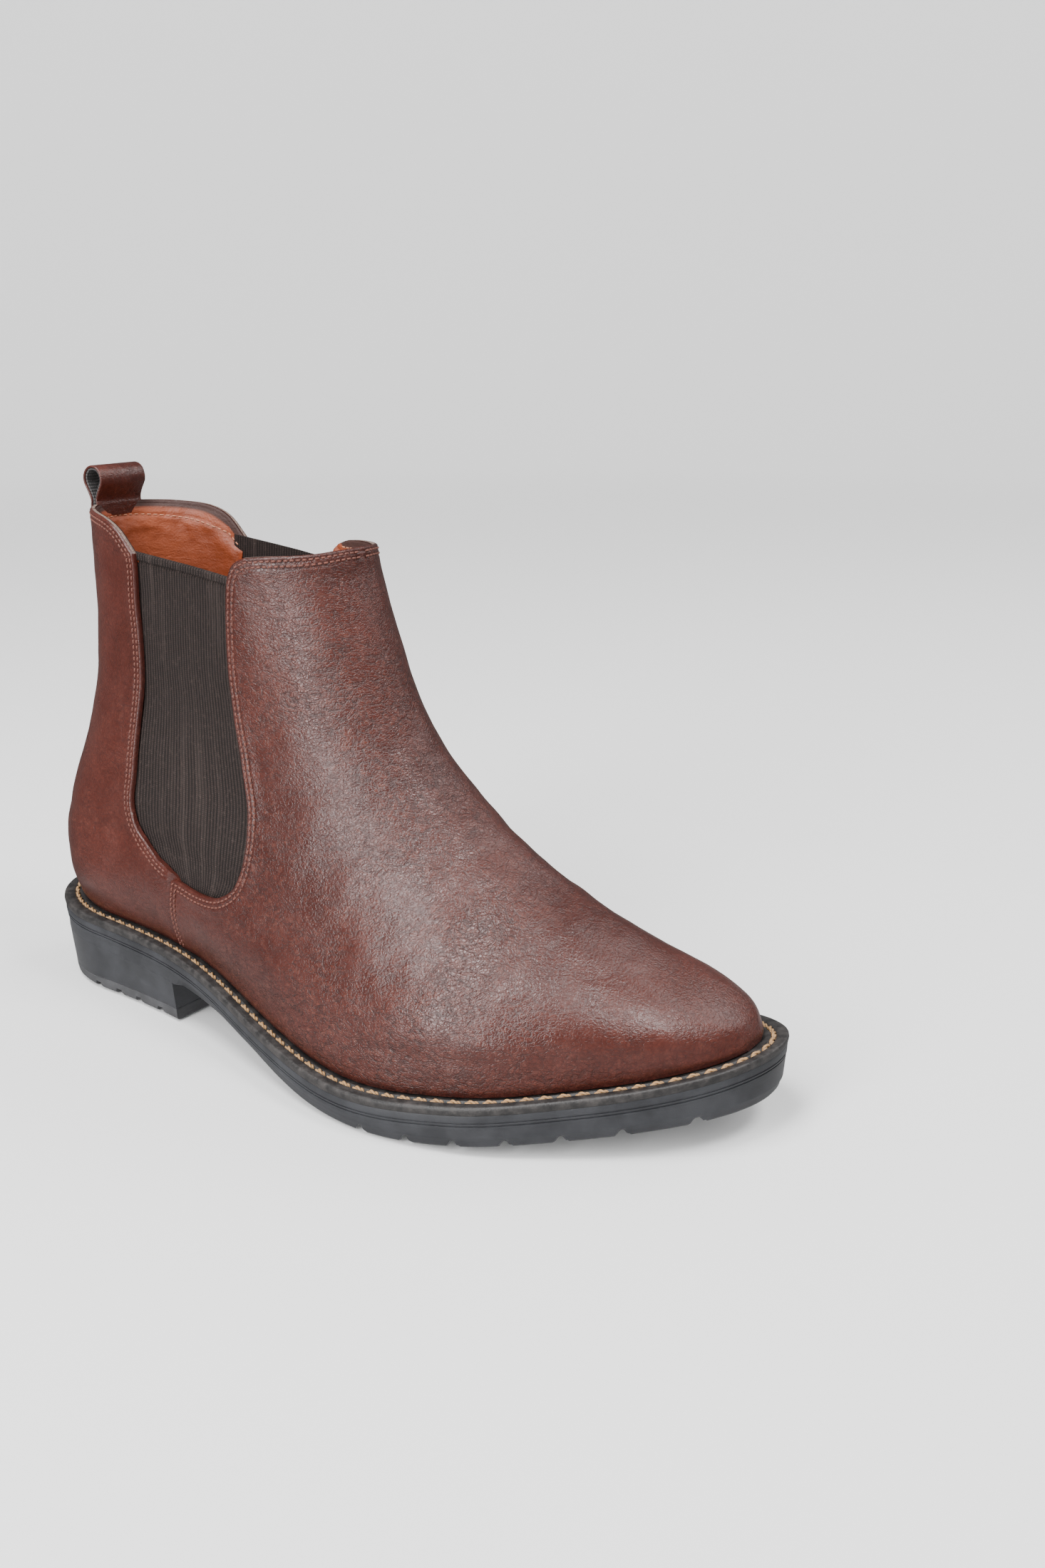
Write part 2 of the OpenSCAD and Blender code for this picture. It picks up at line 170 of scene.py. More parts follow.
class Wire:
    """An output of a node in a material. Sums and products with it add Math nodes."""

    def __init__(self, finish, socket):
        self.finish = finish
        self.socket = socket

    def _math(self, operation, first, second):
        return self.finish.node("Math", {"operation": operation}, {0: first, 1: second})

    def __add__(self, other):
        return self._math("ADD", self, other)

    __radd__ = __add__

    def __mul__(self, other):
        return self._math("MULTIPLY", self, other)

    __rmul__ = __mul__

    def __sub__(self, other):
        return self._math("SUBTRACT", self, other)

    def __rsub__(self, other):
        return self._math("SUBTRACT", other, self)

    def rise(self, start, end, bottom=0.0, top=1.0):
        """Smoothly from bottom at start to top at end."""
        settings = {"interpolation_type": "SMOOTHSTEP"}
        values = {"Value": self, "From Min": start, "From Max": end, "To Min": bottom, "To Max": top}
        return self.finish.node("MapRange", settings, values)


class Finish:
    """A material built from nodes on one Principled shader."""

    def __init__(self, name, **fixed):
        self.material = bpy.data.materials.new(name)
        self.material.use_nodes = True
        self.tree = self.material.node_tree
        self.shader = self.tree.nodes["Principled BSDF"]
        for key, value in fixed.items():
            self.shader.inputs[key.replace("_", " ").title()].default_value = value
        self.place = self.node("TexCoord", {}, {}, "Object")
        self.map = self.node("TexCoord", {}, {}, "UV")

    def node(self, kind, settings, values, output=0):
        made = self.tree.nodes.new("ShaderNode" + kind)
        for key, value in settings.items():
            if key == "stops":
                while len(made.color_ramp.elements) < len(value):
                    made.color_ramp.elements.new(0.5)
                for element, (position, colour) in zip(made.color_ramp.elements, value):
                    element.position = position
                    element.color = (*colour, 1)
            else:
                setattr(made, key, value)
        for key, value in values.items():
            target = self._input(made, key)
            if isinstance(value, Wire):
                self.tree.links.new(value.socket, target)
            elif target.type == "RGBA" and len(value) == 3:
                target.default_value = (*value, 1)
            else:
                target.default_value = value
        return Wire(self, made.outputs[output])

    def _input(self, made, key):
        if isinstance(key, int):
            return made.inputs[key]
        found = [s for s in made.inputs if s.identifier == key or s.name == key]
        usable = [s for s in found if s.enabled]
        return (usable or found)[0]

    def mix(self, share, first, second):
        """Colour first where share is 0, second where it is 1."""
        values = {"Factor_Float": share, "A_Color": first, "B_Color": second}
        return self.node("Mix", {"data_type": "RGBA"}, values, 2)

    def stretch(self, place, factors):
        return self.node("VectorMath", {"operation": "MULTIPLY"}, {0: place, 1: factors})

    def shift(self, place, offset):
        return self.node("VectorMath", {"operation": "ADD"}, {0: place, 1: offset})

    def clouds(self, place, scale, detail=3.0, rough=0.5, bent=0.0):
        values = {"Vector": place, "Scale": scale, "Detail": detail, "Roughness": rough,
                  "Distortion": bent}
        return self.node("TexNoise", {}, values)

    def cells(self, place, scale, feature="F1", smooth=None, random=1.0):
        values = {"Vector": place, "Scale": scale, "Randomness": random}
        if smooth is not None:
            values["Smoothness"] = smooth
        return self.node("TexVoronoi", {"feature": feature}, values)

    def relief(self, layers):
        """Bump from (height wire, depth in metres) layers, the first one lowest."""
        normal = None
        for height, depth in layers:
            values = {"Height": height, "Strength": 1.0, "Distance": depth}
            if normal is not None:
                values["Normal"] = normal
            normal = self.node("Bump", {}, values)
        return normal

    def surface(self, **parts):
        for key, value in parts.items():
            self.tree.links.new(value.socket, self.shader.inputs[key.replace("_", " ").title()])
        return self.material


def plain_fibre(name, dark, light, grain, depth, roughness):
    f = Finish(name, roughness=roughness)
    speck = f.clouds(f.place, grain, 6, 0.7)
    return f.surface(
        base_color=f.mix(speck.rise(0.35, 0.65), dark, light),
        normal=f.relief([(speck, depth)]),
    )


def brushed_steel():
    f = Finish("brushed_steel", metallic=1.0)
    streak = f.clouds(f.stretch(f.place, (40, 900, 900)), 1.0, 4, 0.6)
    return f.surface(
        base_color=f.mix(streak, (0.42, 0.43, 0.45), (0.62, 0.63, 0.64)),
        roughness=streak.rise(0.3, 0.7, 0.28, 0.45),
        normal=f.relief([(streak, 0.00004)]),
    )


def dress(node, material):
    """Gives a CAD solid that stays its finish."""
    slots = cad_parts[node].data.materials
    slots.clear()
    slots.append(material)


board = plain_fibre("insole_board", (0.36, 0.25, 0.14), (0.5, 0.37, 0.23), 900, 0.0002, 0.85)
cork = plain_fibre("cork", (0.22, 0.12, 0.06), (0.5, 0.32, 0.17), 420, 0.0004, 0.9)
felt = plain_fibre("stiffener", (0.5, 0.45, 0.36), (0.62, 0.57, 0.47), 1200, 0.0001, 0.9)
steel = brushed_steel()
dress("insole_board", board)
dress("bottom_filler", cork)
dress("toe_puff", felt)
dress("heel_counter", felt)
dress("shank", steel)
dress("heel_nails", steel)

# ---------------------------------------------------------------------------
# Outsole, runner, heel and top piece: black moulded rubber. The side wall is
# satin with a double groove under the welt; the tread is cut with notches.
# The curves here are the sole's own: they match the solids in the frame.
# ---------------------------------------------------------------------------
HALF_LENGTH = 154.0
WELT_TOP = [(-154, 33.5), (-110, 31), (-70, 29), (-40, 25), (-10, 18.5), (30, 14), (70, 16.5),
            (110, 22), (140, 27.5), (154, 31)]
UNDERSIDE = [(-154, 21), (-110, 18.5), (-70, 16.5), (-40, 13.5), (-20, 9), (0, 4), (20, 1),
             (42, 0), (62, 0.8), (82, 2.8), (105, 5.8), (130, 9.5), (154, 13)]
WIDTH_OUTER = [(-154, 34), (-100, 35), (-60, 40), (-20, 50.5), (20, 61), (45, 62.5), (75, 57.5),
               (110, 49), (154, 46)]
WIDTH_INNER = [(-154, 33), (-100, 36), (-60, 34.5), (-20, 33), (20, 38), (60, 42), (110, 44),
               (154, 47)]
CENTRE_LINE = [(-154, 0), (-40, 0), (20, 0), (80, 1.5), (154, 16)]
TREAD_NOTCHES = (41.5, 58.5, 74.5, 90, 105, 121, 139)
HEEL_NOTCHES = (-117.5, -105, -93, -79.5)
HEEL_BREAST = -68.5
TOP_PIECE = 5.0
OUTER, INNER = -1, 1


def curve(knots, at):
    """Smooth cubic through [place, value] knots, flat beyond the ends."""
    places = np.array([k[0] for k in knots], float)
    values = np.array([k[1] for k in knots], float)
    ahead, behind = np.arange(len(knots)) + 1, np.arange(len(knots)) - 1
    ahead, behind = np.minimum(ahead, len(knots) - 1), np.maximum(behind, 0)
    slopes = (values[ahead] - values[behind]) / (places[ahead] - places[behind])
    at = np.clip(np.asarray(at, float), places[0], places[-1])
    i = np.clip(np.searchsorted(places, at, side="right") - 1, 0, len(knots) - 2)
    gap = places[i + 1] - places[i]
    t = (at - places[i]) / gap
    start = values[i] * (1 + 2 * t) * (1 - t) ** 2 + slopes[i] * gap * t * (1 - t) ** 2
    return start + values[i + 1] * t * t * (3 - 2 * t) + slopes[i + 1] * gap * t * t * (t - 1)


def smooth(t):
    t = np.clip(t, 0, 1)
    return t * t * (3 - 2 * t)


def bow(t):
    """Quarter of a circle: 0 at 0, and 1 from 1 on."""
    return np.sqrt(np.clip(1 - (1 - np.clip(t, 0, 1)) ** 2, 0, 1))


def foot_width(side, x):
    return curve(WIDTH_OUTER if side == OUTER else WIDTH_INNER, x)


def sole_y(side, x, inset, at_heel=None):
    """Edge of the sole, moved in by inset, or by at_heel over the heel block."""
    at_heel = inset if at_heel is None else at_heel
    ends = bow((x + HALF_LENGTH - at_heel) / 38) * bow((HALF_LENGTH - inset - x) / 75)
    inset = at_heel + (inset - at_heel) * smooth((x - HEEL_BREAST - 1) / 5)
    return heel_line + curve(CENTRE_LINE, x) + side * (foot_width(side, x) - inset) * ends


def stations(first, last, count, whole_toe=True):
    """Places along the sole, crowded at the round ends."""
    angle = np.linspace(0, math.pi if whole_toe else math.pi / 2, count)
    if whole_toe:
        return first + (last - first) * (1 - np.cos(angle)) / 2
    return first + (last - first) * (1 - np.cos(angle))


def new_piece(name, points, faces, material, body, flat_angle=None, uv=None):
    """A mesh in millimetres made into a piece in metres that rides on a body."""
    mesh = bpy.data.meshes.new(name)
    mesh.from_pydata([tuple(p) for p in np.asarray(points, float) * MM], [], faces)
    if uv is not None:
        layer = mesh.uv_layers.new(name="cut")
        index = np.zeros(len(mesh.loops), int)
        mesh.loops.foreach_get("vertex_index", index)
        layer.data.foreach_set("uv", (np.asarray(uv, float)[index] * MM).ravel())
    tidy = bmesh.new()
    tidy.from_mesh(mesh)
    bmesh.ops.remove_doubles(tidy, verts=tidy.verts, dist=2e-6)
    bmesh.ops.dissolve_degenerate(tidy, dist=1e-6, edges=tidy.edges)
    bmesh.ops.recalc_face_normals(tidy, faces=tidy.faces)
    for face in tidy.faces:
        face.smooth = True
    if flat_angle is not None:
        for edge in tidy.edges:
            if len(edge.link_faces) == 2 and edge.calc_face_angle(0) > math.radians(flat_angle):
                edge.smooth = False
    tidy.to_mesh(mesh)
    tidy.free()
    mesh.materials.append(material)
    piece = bpy.data.objects.new(name, mesh)
    bpy.context.scene.collection.objects.link(piece)
    if body is not None:
        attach(piece, body)
    return piece


def ring(inset, count, breast=None, at_heel=None):
    """Closed line round the sole: the outer side from heel to toe, then the inner side back."""
    first = -HALF_LENGTH + (inset if at_heel is None else at_heel)
    if breast is None:
        x = stations(first, HALF_LENGTH - inset, count)
    else:
        x = stations(first, breast, count, False)
    near = np.stack([x, sole_y(OUTER, x, inset, at_heel)], 1)
    far = np.stack([x, sole_y(INNER, x, inset, at_heel)], 1)
    return np.concatenate([near, far[::-1]])


def stacked(name, levels, material, body, cap_columns=2, cap_relief=None, flat_angle=30):
    """A solid from closed lines one above the other, each (x, y, z) rows; both ends are capped."""
    count = len(levels[0])
    half = count // 2
    points = [p for level in levels for p in level]
    faces = []
    for k in range(len(levels) - 1):
        for i in range(count):
            j = (i + 1) % count
            faces.append((k * count + i, k * count + j, (k + 1) * count + j, (k + 1) * count + i))
    for k, sign in ((0, 1), (len(levels) - 1, -1)):
        base = k * count
        columns = [[base + i for i in range(half)]]
        for c in range(1, cap_columns):
            share = c / cap_columns
            column = []
            for i in range(half):
                near, far = np.array(points[base + i]), np.array(points[base + count - 1 - i])
                spot = near + (far - near) * share
                if cap_relief is not None:
                    spot[2] = cap_relief(sign, spot[0], spot[1], spot[2], share)
                column.append(len(points))
                points.append(spot)
            columns.append(column)
        columns.append([base + count - 1 - i for i in range(half)])
        for a, b in zip(columns, columns[1:]):
            for i in range(half - 1):
                faces.append((a[i], a[i + 1], b[i + 1], b[i]))
    return new_piece(name, points, faces, material, body, flat_angle)


def rubber(name, dark, light, shine):
    f = Finish(name)
    blotch = f.clouds(f.place, 60, 5, 0.6)
    fine = f.clouds(f.place, 2600, 3, 0.6)
    scuff = f.clouds(f.stretch(f.place, (60, 60, 420)), 1.0, 6, 0.65)
    return f.surface(
        base_color=f.mix(blotch.rise(0.35, 0.7) * 0.7 + scuff.rise(0.55, 0.8) * 0.3, dark, light),
        roughness=blotch.rise(0.3, 0.7, shine, shine + 0.12) + scuff.rise(0.6, 0.8, 0, 0.1),
        normal=f.relief([(fine, 0.00004), (scuff, 0.00005)]),
    )


side_rubber = rubber("sole_rubber", (0.014, 0.0145, 0.017), (0.034, 0.035, 0.040), 0.36)
tread_rubber = rubber("tread_rubber", (0.03, 0.03, 0.032), (0.07, 0.07, 0.075), 0.6)


def with_height(line, height):
    return np.column_stack([line, np.broadcast_to(height, len(line))])


def runner_and_outsole():
    count = 620

    def hung(inset, drop):
        line = ring(inset, count)
        return with_height(line, curve(WELT_TOP, line[:, 0]) + drop)

    def notch(x):
        depth = np.zeros_like(x)
        for place in TREAD_NOTCHES:
            depth = np.maximum(depth, np.clip((2.1 - np.abs(x - place)) / 1.5, 0, 1))
        return depth * 2.6

    def bottom(inset, lift, cut):
        line = ring(inset, count, at_heel=1.0)
        x = line[:, 0]
        lift = lift * smooth((x - HEEL_BREAST - 1) / 5)
        return with_height(line, curve(UNDERSIDE, x) + np.maximum(lift, notch(x) * cut))

    grooves = [(14, -3.02), (0.35, -3.02), (0.3, -3.2), (0.35, -5.3), (0.75, -5.5), (0.75, -5.8),
               (0.42, -6.0), (0.5, -6.45), (0.95, -6.65), (0.95, -6.9), (0.62, -7.1),
               (0.66, -7.98), (14, -7.98)]
    levels = [hung(inset, drop) for inset, drop in grooves]
    runner = stacked("runner", levels, side_rubber, "boot", flat_angle=38)
    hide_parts("runner")

    def lugs(sign, x, y, z, share):
        """Tread blocks in the forepart: bars with a channel down the middle, smooth in the waist."""
        if sign > 0:
            return z
        floor = float(curve(UNDERSIDE, x))
        edge = min(share, 1 - share) * 2 * (foot_width(OUTER, x) + foot_width(INNER, x)) / 2
        cut = 0.0
        for place in TREAD_NOTCHES:
            bend = place - 4.0 * (1 - abs(2 * share - 1)) ** 1.5
            wide = 1.5 if edge > 9 else 2.1
            cut = max(cut, min(1.0, max(0.0, (wide - abs(x - bend)) / 0.9)))
        if x > TREAD_NOTCHES[0] - 6:
            cut = max(cut, min(1.0, max(0.0, (1.7 - abs(abs(share - 0.5) - 0.16) * 95) / 0.9)))
        return floor + 2.2 * float(cut)

    levels = [hung(14, -8.0), hung(0.68, -8.0)]
    x = ring(0.9, count)[:, 0]
    top, low = curve(WELT_TOP, x) - 8.2, curve(UNDERSIDE, x)
    for share in (0.04, 0.35, 0.7):
        line = ring(0.7 + 0.35 * share, count)
        levels.append(with_height(line, top + (low + 4.2 - top) * share))
    levels.append(bottom(1.1, 4.0, 0))
    levels.append(bottom(1.15, 3.4, 1))
    levels.append(bottom(1.7, 2.7, 1))
    levels.append(bottom(2.0, 1.0, 1))
    levels.append(bottom(2.6, 0.25, 1))
    levels.append(bottom(3.4, 0.0, 1))
    levels.append(bottom(9.0, 0.0, 0.95))
    levels = levels[::-1]
    outsole = stacked("outsole", levels, side_rubber, "boot", 30, lambda s, *a: lugs(-s, *a), 34)
    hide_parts("outsole")


runner_and_outsole()


def heel():
    count = 260

    def heel_ring(inset, inset_breast, height):
        line = ring(inset, count, breast=HEEL_BREAST - inset_breast)
        return with_height(line, height(line[:, 0]) if callable(height) else height)

    def under_sole(x):
        return curve(UNDERSIDE, x) - 0.02

    def blended(share):
        return lambda x: TOP_PIECE + 0.6 + (under_sole(x) - TOP_PIECE - 0.6) * share

    levels = [heel_ring(14, 3, TOP_PIECE + 0.05), heel_ring(2.35, 0.1, TOP_PIECE + 0.05),
              heel_ring(2.22, 0.0, TOP_PIECE + 0.2)]
    levels += [heel_ring(2.2 - 1.2 * share, 0.0, blended(share)) for share in (0.1, 0.4, 0.7, 0.97)]
    levels += [heel_ring(1.0, 0.0, under_sole), heel_ring(14, 3, under_sole)]
    block = stacked("heel_block", levels, side_rubber, "boot", flat_angle=30)
    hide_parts("heel_block")

    def notched(inset, inset_breast, height, cut):
        line = ring(inset, count, breast=HEEL_BREAST - inset_breast)
        x = line[:, 0]
        depth = np.zeros_like(x)
        for place in HEEL_NOTCHES:
            depth = np.maximum(depth, np.clip((2.3 - np.abs(x - place)) / 0.9, 0, 1))
        return with_height(line, np.maximum(height, depth * 2.6 * cut))

    def treads(sign, x, y, z, share):
        if sign > 0:
            return z
        width = foot_width(OUTER, x) + foot_width(INNER, x)
        edge = min(share, 1 - share) * width
        cut = 0.0
        for place in HEEL_NOTCHES:
            if edge < 12:
                cut = max(cut, min(1.0, max(0.0, (2.3 - abs(x - place)) / 0.9)))
            elif edge < 14.5:
                cut = max(cut, min(1.0, max(0.0, (3.4 - abs(x - place - 1.0)) / 0.9)))
        if edge > 16 and abs(abs(x + 98) - 14) < 1.6:
            cut = 1.0
        return 2.4 * cut

    top = TOP_PIECE
    levels = [heel_ring(14, 3, top), heel_ring(2.4, 0.1, top), heel_ring(2.25, 0.0, top - 0.2),
              heel_ring(2.3, 0.0, top - 0.9), notched(2.4, 0.0, 2.6, 1), notched(2.65, 0.1, 1.2, 1),
              notched(3.2, 0.3, 0.5, 1), notched(4.0, 0.7, 0.0, 1), notched(11.0, 1.0, 0.0, 1)]
    levels = levels[::-1]
    lift = stacked("heel_top_piece", levels, tread_rubber, "boot", 30, lambda s, *a: treads(-s, *a), 30)
    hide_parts("heel_top_piece")


heel()

# ---------------------------------------------------------------------------
# Welt: a black rubber strip round the whole boot, with a channel cut along its
# top. Waxed two-ply linen thread lies in the channel in long stitches.
# ---------------------------------------------------------------------------
WELT_LIP = 6.5
CHANNEL = 4.5


def hoop(name, profile, material, count=480):
    """A closed strip round the sole through (inset, height above the welt's top) pairs."""
    lines = []
    for inset, rise in profile:
        line = ring(inset, count)
        lines.append(with_height(line, curve(WELT_TOP, line[:, 0]) + rise))
    size, rows = len(lines[0]), len(lines)
    faces = []
    for k in range(rows):
        for i in range(size):
            j, m = (i + 1) % size, (k + 1) % rows
            faces.append((k * size + i, k * size + j, m * size + j, m * size + i))
    return new_piece(name, np.concatenate(lines), faces, material, "boot", 42)


def arc_length(line):
    return np.concatenate([[0], np.cumsum(np.linalg.norm(np.diff(line, axis=0), axis=1))])


def at_length(line, lengths):
    """Points on a line at given lengths along it."""
    run = arc_length(line)
    return np.stack([np.interp(lengths, run, line[:, k]) for k in range(line.shape[1])], 1)


def unit(v):
    return v / np.maximum(np.linalg.norm(v, axis=-1, keepdims=True), 1e-9)


def stitches(name, centres, along, out, length, radius, plies, material, body, sink=0.3):
    """Short threads, each bowed up in its middle and drawn into its holes at both ends."""
    steps, sides = 9, 6
    t = np.linspace(-1, 1, steps)
    across = unit(np.cross(along, out))
    ply = radius * (1.0 if plies == 1 else 0.62)
    thick = ply * np.sqrt(np.clip(1.02 - t**6, 0.05, 1))
    lift = -sink * np.abs(t) ** 3
    points, faces = [], []
    angle = np.arange(sides) * 2 * math.pi / sides
    for k in range(plies):
        turn = k * 2 * math.pi / plies + t * math.pi * 1.1
        swing = 0.0 if plies == 1 else radius * 0.5
        mid = (centres[:, None] + along[:, None] * (t * length / 2)[None, :, None]
               + out[:, None] * (lift + swing * np.cos(turn))[None, :, None]
               + across[:, None] * (swing * np.sin(turn))[None, :, None])
        tube = (mid[:, :, None]
                + out[:, None, None] * (thick[:, None] * np.cos(angle))[None, :, :, None]
                + across[:, None, None] * (thick[:, None] * np.sin(angle))[None, :, :, None])
        base = len(points) * len(centres) * steps * sides
        points.append(tube.reshape(-1, 3))
        for s in range(len(centres)):
            start = base + s * steps * sides
            for i in range(steps - 1):
                for j in range(sides):
                    a, b = start + i * sides + j, start + i * sides + (j + 1) % sides
                    faces.append((a, b, b + sides, a + sides))
            faces.append(tuple(start + j for j in range(sides))[::-1])
            faces.append(tuple(start + (steps - 1) * sides + j for j in range(sides)))
    return new_piece(name, np.concatenate(points), faces, material, body)


def waxed_thread(name, dark, light):
    f = Finish(name)
    ply = f.clouds(f.stretch(f.place, (900, 900, 1400)), 1.0, 4, 0.6)
    soil = f.clouds(f.place, 90, 3, 0.6)
    return f.surface(
        base_color=f.mix(ply * 0.6 + soil * 0.5, dark, light),
        roughness=soil.rise(0.3, 0.7, 0.55, 0.75),
        normal=f.relief([(ply, 0.00012)]),
    )


def welt():
    profile = [(1.2, -2.98), (0.36, -2.98), (0.28, -2.8), (0.12, -2.1), (0.0, -1.3),
               (0.12, -0.6), (0.5, -0.16), (1.1, 0.0), (CHANNEL - 1.05, 0.02),
               (CHANNEL - 0.8, -0.22), (CHANNEL - 0.5, -0.62), (CHANNEL, -0.75),
               (CHANNEL + 0.5, -0.62), (CHANNEL + 0.8, -0.22), (CHANNEL + 1.05, 0.0),
               (6.6, -0.1), (9.0, -0.3), (12.8, -0.3), (12.8, -2.98)]
    f = Finish("welt_rubber")
    wear = f.clouds(f.place, 240, 6, 0.65)
    pore = f.cells(f.place, 1500, "F1")
    rubber_skin = f.surface(
        base_color=f.mix(wear.rise(0.35, 0.75), (0.012, 0.011, 0.011), (0.04, 0.035, 0.033)),
        roughness=wear.rise(0.3, 0.7, 0.45, 0.62),
        normal=f.relief([(pore, 0.00006), (wear, 0.00018)]),
    )
    strip = hoop("welt", profile, rubber_skin)
    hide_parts("welt")

    line = ring(CHANNEL, 900)
    line = with_height(line, curve(WELT_TOP, line[:, 0]) - 0.12)
    total = arc_length(line)[-1]
    count = int(round(total / 5.9))
    places = (np.arange(count) + 0.5) * total / count
    ahead, behind = at_length(line, places + 1.2), at_length(line, places - 1.2)
    along = unit(ahead - behind)
    side = unit(np.cross(along, np.array([0, 0, 1.0])))
    up = unit(np.cross(side, along))
    thread = waxed_thread("welt_thread", (0.14, 0.07, 0.028), (0.44, 0.26, 0.115))
    row = stitches("welt_stitches", at_length(line, places), along, up, 5.3, 0.8, 2, thread, "boot", 1.3)
    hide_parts("welt_thread")


welt()

# ---------------------------------------------------------------------------
# Linings and sock liner: thin orange-tan leather glued inside the upper, with
# a row of stitches and small puckers under the collar. The curves here are the
# last's own, on which the lining and then the upper are pulled.
# ---------------------------------------------------------------------------
BACK_LINE = [(28, -147), (50, -147), (75, -144), (100, -135), (130, -127), (160, -125), (190, -124.5)]
RIDGE_LINE = [(30, 146.5), (38, 142.5), (46, 130), (54, 114), (62, 97), (72, 76), (88, 51.5),
              (108, 29), (132, 15), (158, 5), (185, -3.5)]
SHAFT_HALF = [(30, 31), (50, 34.5), (75, 35.5), (100, 32.5), (130, 28.5), (190, 29)]
RIDGE_ROUND = [(30, 70), (45, 80), (60, 95), (75, 80), (95, 60), (120, 45), (190, 38)]
BACK_ROUND = [(30, 38), (60, 36), (100, 40), (190, 42)]
VAMP_EDGE = [(-68.5, 29.1), (-67.3, 38), (-65.8, 48), (-64.4, 56), (-63.0, 59.0), (-58.6, 58.9),
             (-50.9, 57.8), (-43, 57.7), (-36, 59), (-30, 63), (-26.3, 70), (-25, 79),
             (-26.4, 90), (-29.5, 99), (-33.2, 110), (-37, 122), (-39.2, 136), (-39.4, 150),
             (-38.6, 161), (-37.6, 168), (-36, 172.5), (-33.8, 175.3), (-29.7, 177.2)]
VAMP_TOP = [(-29.7, 177.2), (-22, 178), (-9.4, 178.8), (-2.5, 180)]
QUARTER_EDGE = [(-62.0, 27.8), (-60.4, 40), (-58.8, 50), (-59.2, 56), (-61.4, 59.4), (-66.3, 62.4),
                (-72, 64.6), (-76.5, 67.4), (-81.3, 70.6), (-84.6, 74.5), (-86.6, 80), (-86.9, 86),
                (-86, 93), (-84.2, 115), (-82.8, 130), (-82.6, 145), (-82.9, 157), (-82.3, 168),
                (-82.5, 174.5)]
QUARTER_TOP = [(-82.5, 174.5), (-90, 182), (-98, 185.6), (-109, 187.1), (-124.6, 187.9)]
BAND = (0, 0.25, 0.6, 1, 1.5, 2, 2.5, 3, 3.5, 4, 4.6, 5.2)
VAMP_SWING = [(0, -9), (8, -26), (15, -40), (22, -52), (30, -59), (40, -50), (48, -44), (56, -32),
              (66, -16), (80, -4), (100, 0), (190, 0)]
LEATHER = 1.5
LINING_DEPTH = 3.1


def smooth_line(knots, step=0.5):
    """An even line that passes smoothly through the knots."""
    k = np.array(knots, float)
    k = np.concatenate([[2 * k[0] - k[1]], k, [2 * k[-1] - k[-2]]])
    out = []
    for i in range(1, len(k) - 2):
        t = np.linspace(0, 1, 24, endpoint=False)[:, None]
        a, b, c, d = k[i - 1], k[i], k[i + 1], k[i + 2]
        out.append(0.5 * (2 * b + (c - a) * t + (2 * a - 5 * b + 4 * c - d) * t**2
                          + (3 * b - a - 3 * c + d) * t**3))
    line = np.concatenate(out + [k[-2:-1]])
    total = arc_length(line)[-1]
    return at_length(line, np.linspace(0, total, int(total / step) + 2))


def upper_half(side, x, z, depth):
    """Half width of the upper at a place in its side view, at a depth under its outer face."""
    rise = z - curve(WELT_TOP, x)
    h = np.clip(rise / 40, 0, 1)
    foot = (foot_width(side, x) - WELT_LIP - 31) * (1 - smooth(rise / 90))
    front = curve(RIDGE_LINE, z + 0.85 * depth) - 0.85 * depth
    return ((curve(SHAFT_HALF, z) + foot + 12 * h * (1 - h) - depth)
            * bow((x - curve(BACK_LINE, z) - depth) / curve(BACK_ROUND, z))
            * bow((front - x) / curve(RIDGE_ROUND, z)))


def on_upper(side, x, z, depth=0.0):
    half = np.maximum(upper_half(side, x, z, depth), 0.0)
    return np.stack([x, heel_line + curve(CENTRE_LINE, x) + side * half, z], -1)


def outward(side, x, z):
    """Direction out of the upper at a place in its side view."""
    ahead = np.minimum(x + 0.5, curve(RIDGE_LINE, z) - 0.02)
    across = on_upper(side, ahead, z) - on_upper(side, x - 0.5, z)
    rising = on_upper(side, x, z + 0.3) - on_upper(side, x, z - 0.3)
    n = unit(np.cross(rising, across))
    return n * np.where(n[..., 1:2] * side < 0, -1, 1)


def distance_to(line, x, z):
    """Distance of places in the side view from a line."""
    spots = np.stack([x.ravel(), z.ravel()], 1)
    a, b = line[:-1], line[1:]
    d = b - a
    best = np.full(len(spots), 1e9)
    for start in range(0, len(spots), 4000):
        p = spots[start:start + 4000, None]
        t = np.clip(((p - a) * d).sum(-1) / np.maximum((d * d).sum(-1), 1e-12), 0, 1)
        best[start:start + 4000] = np.linalg.norm(p - a - t[..., None] * d, axis=-1).min(1)
    return best.reshape(x.shape)


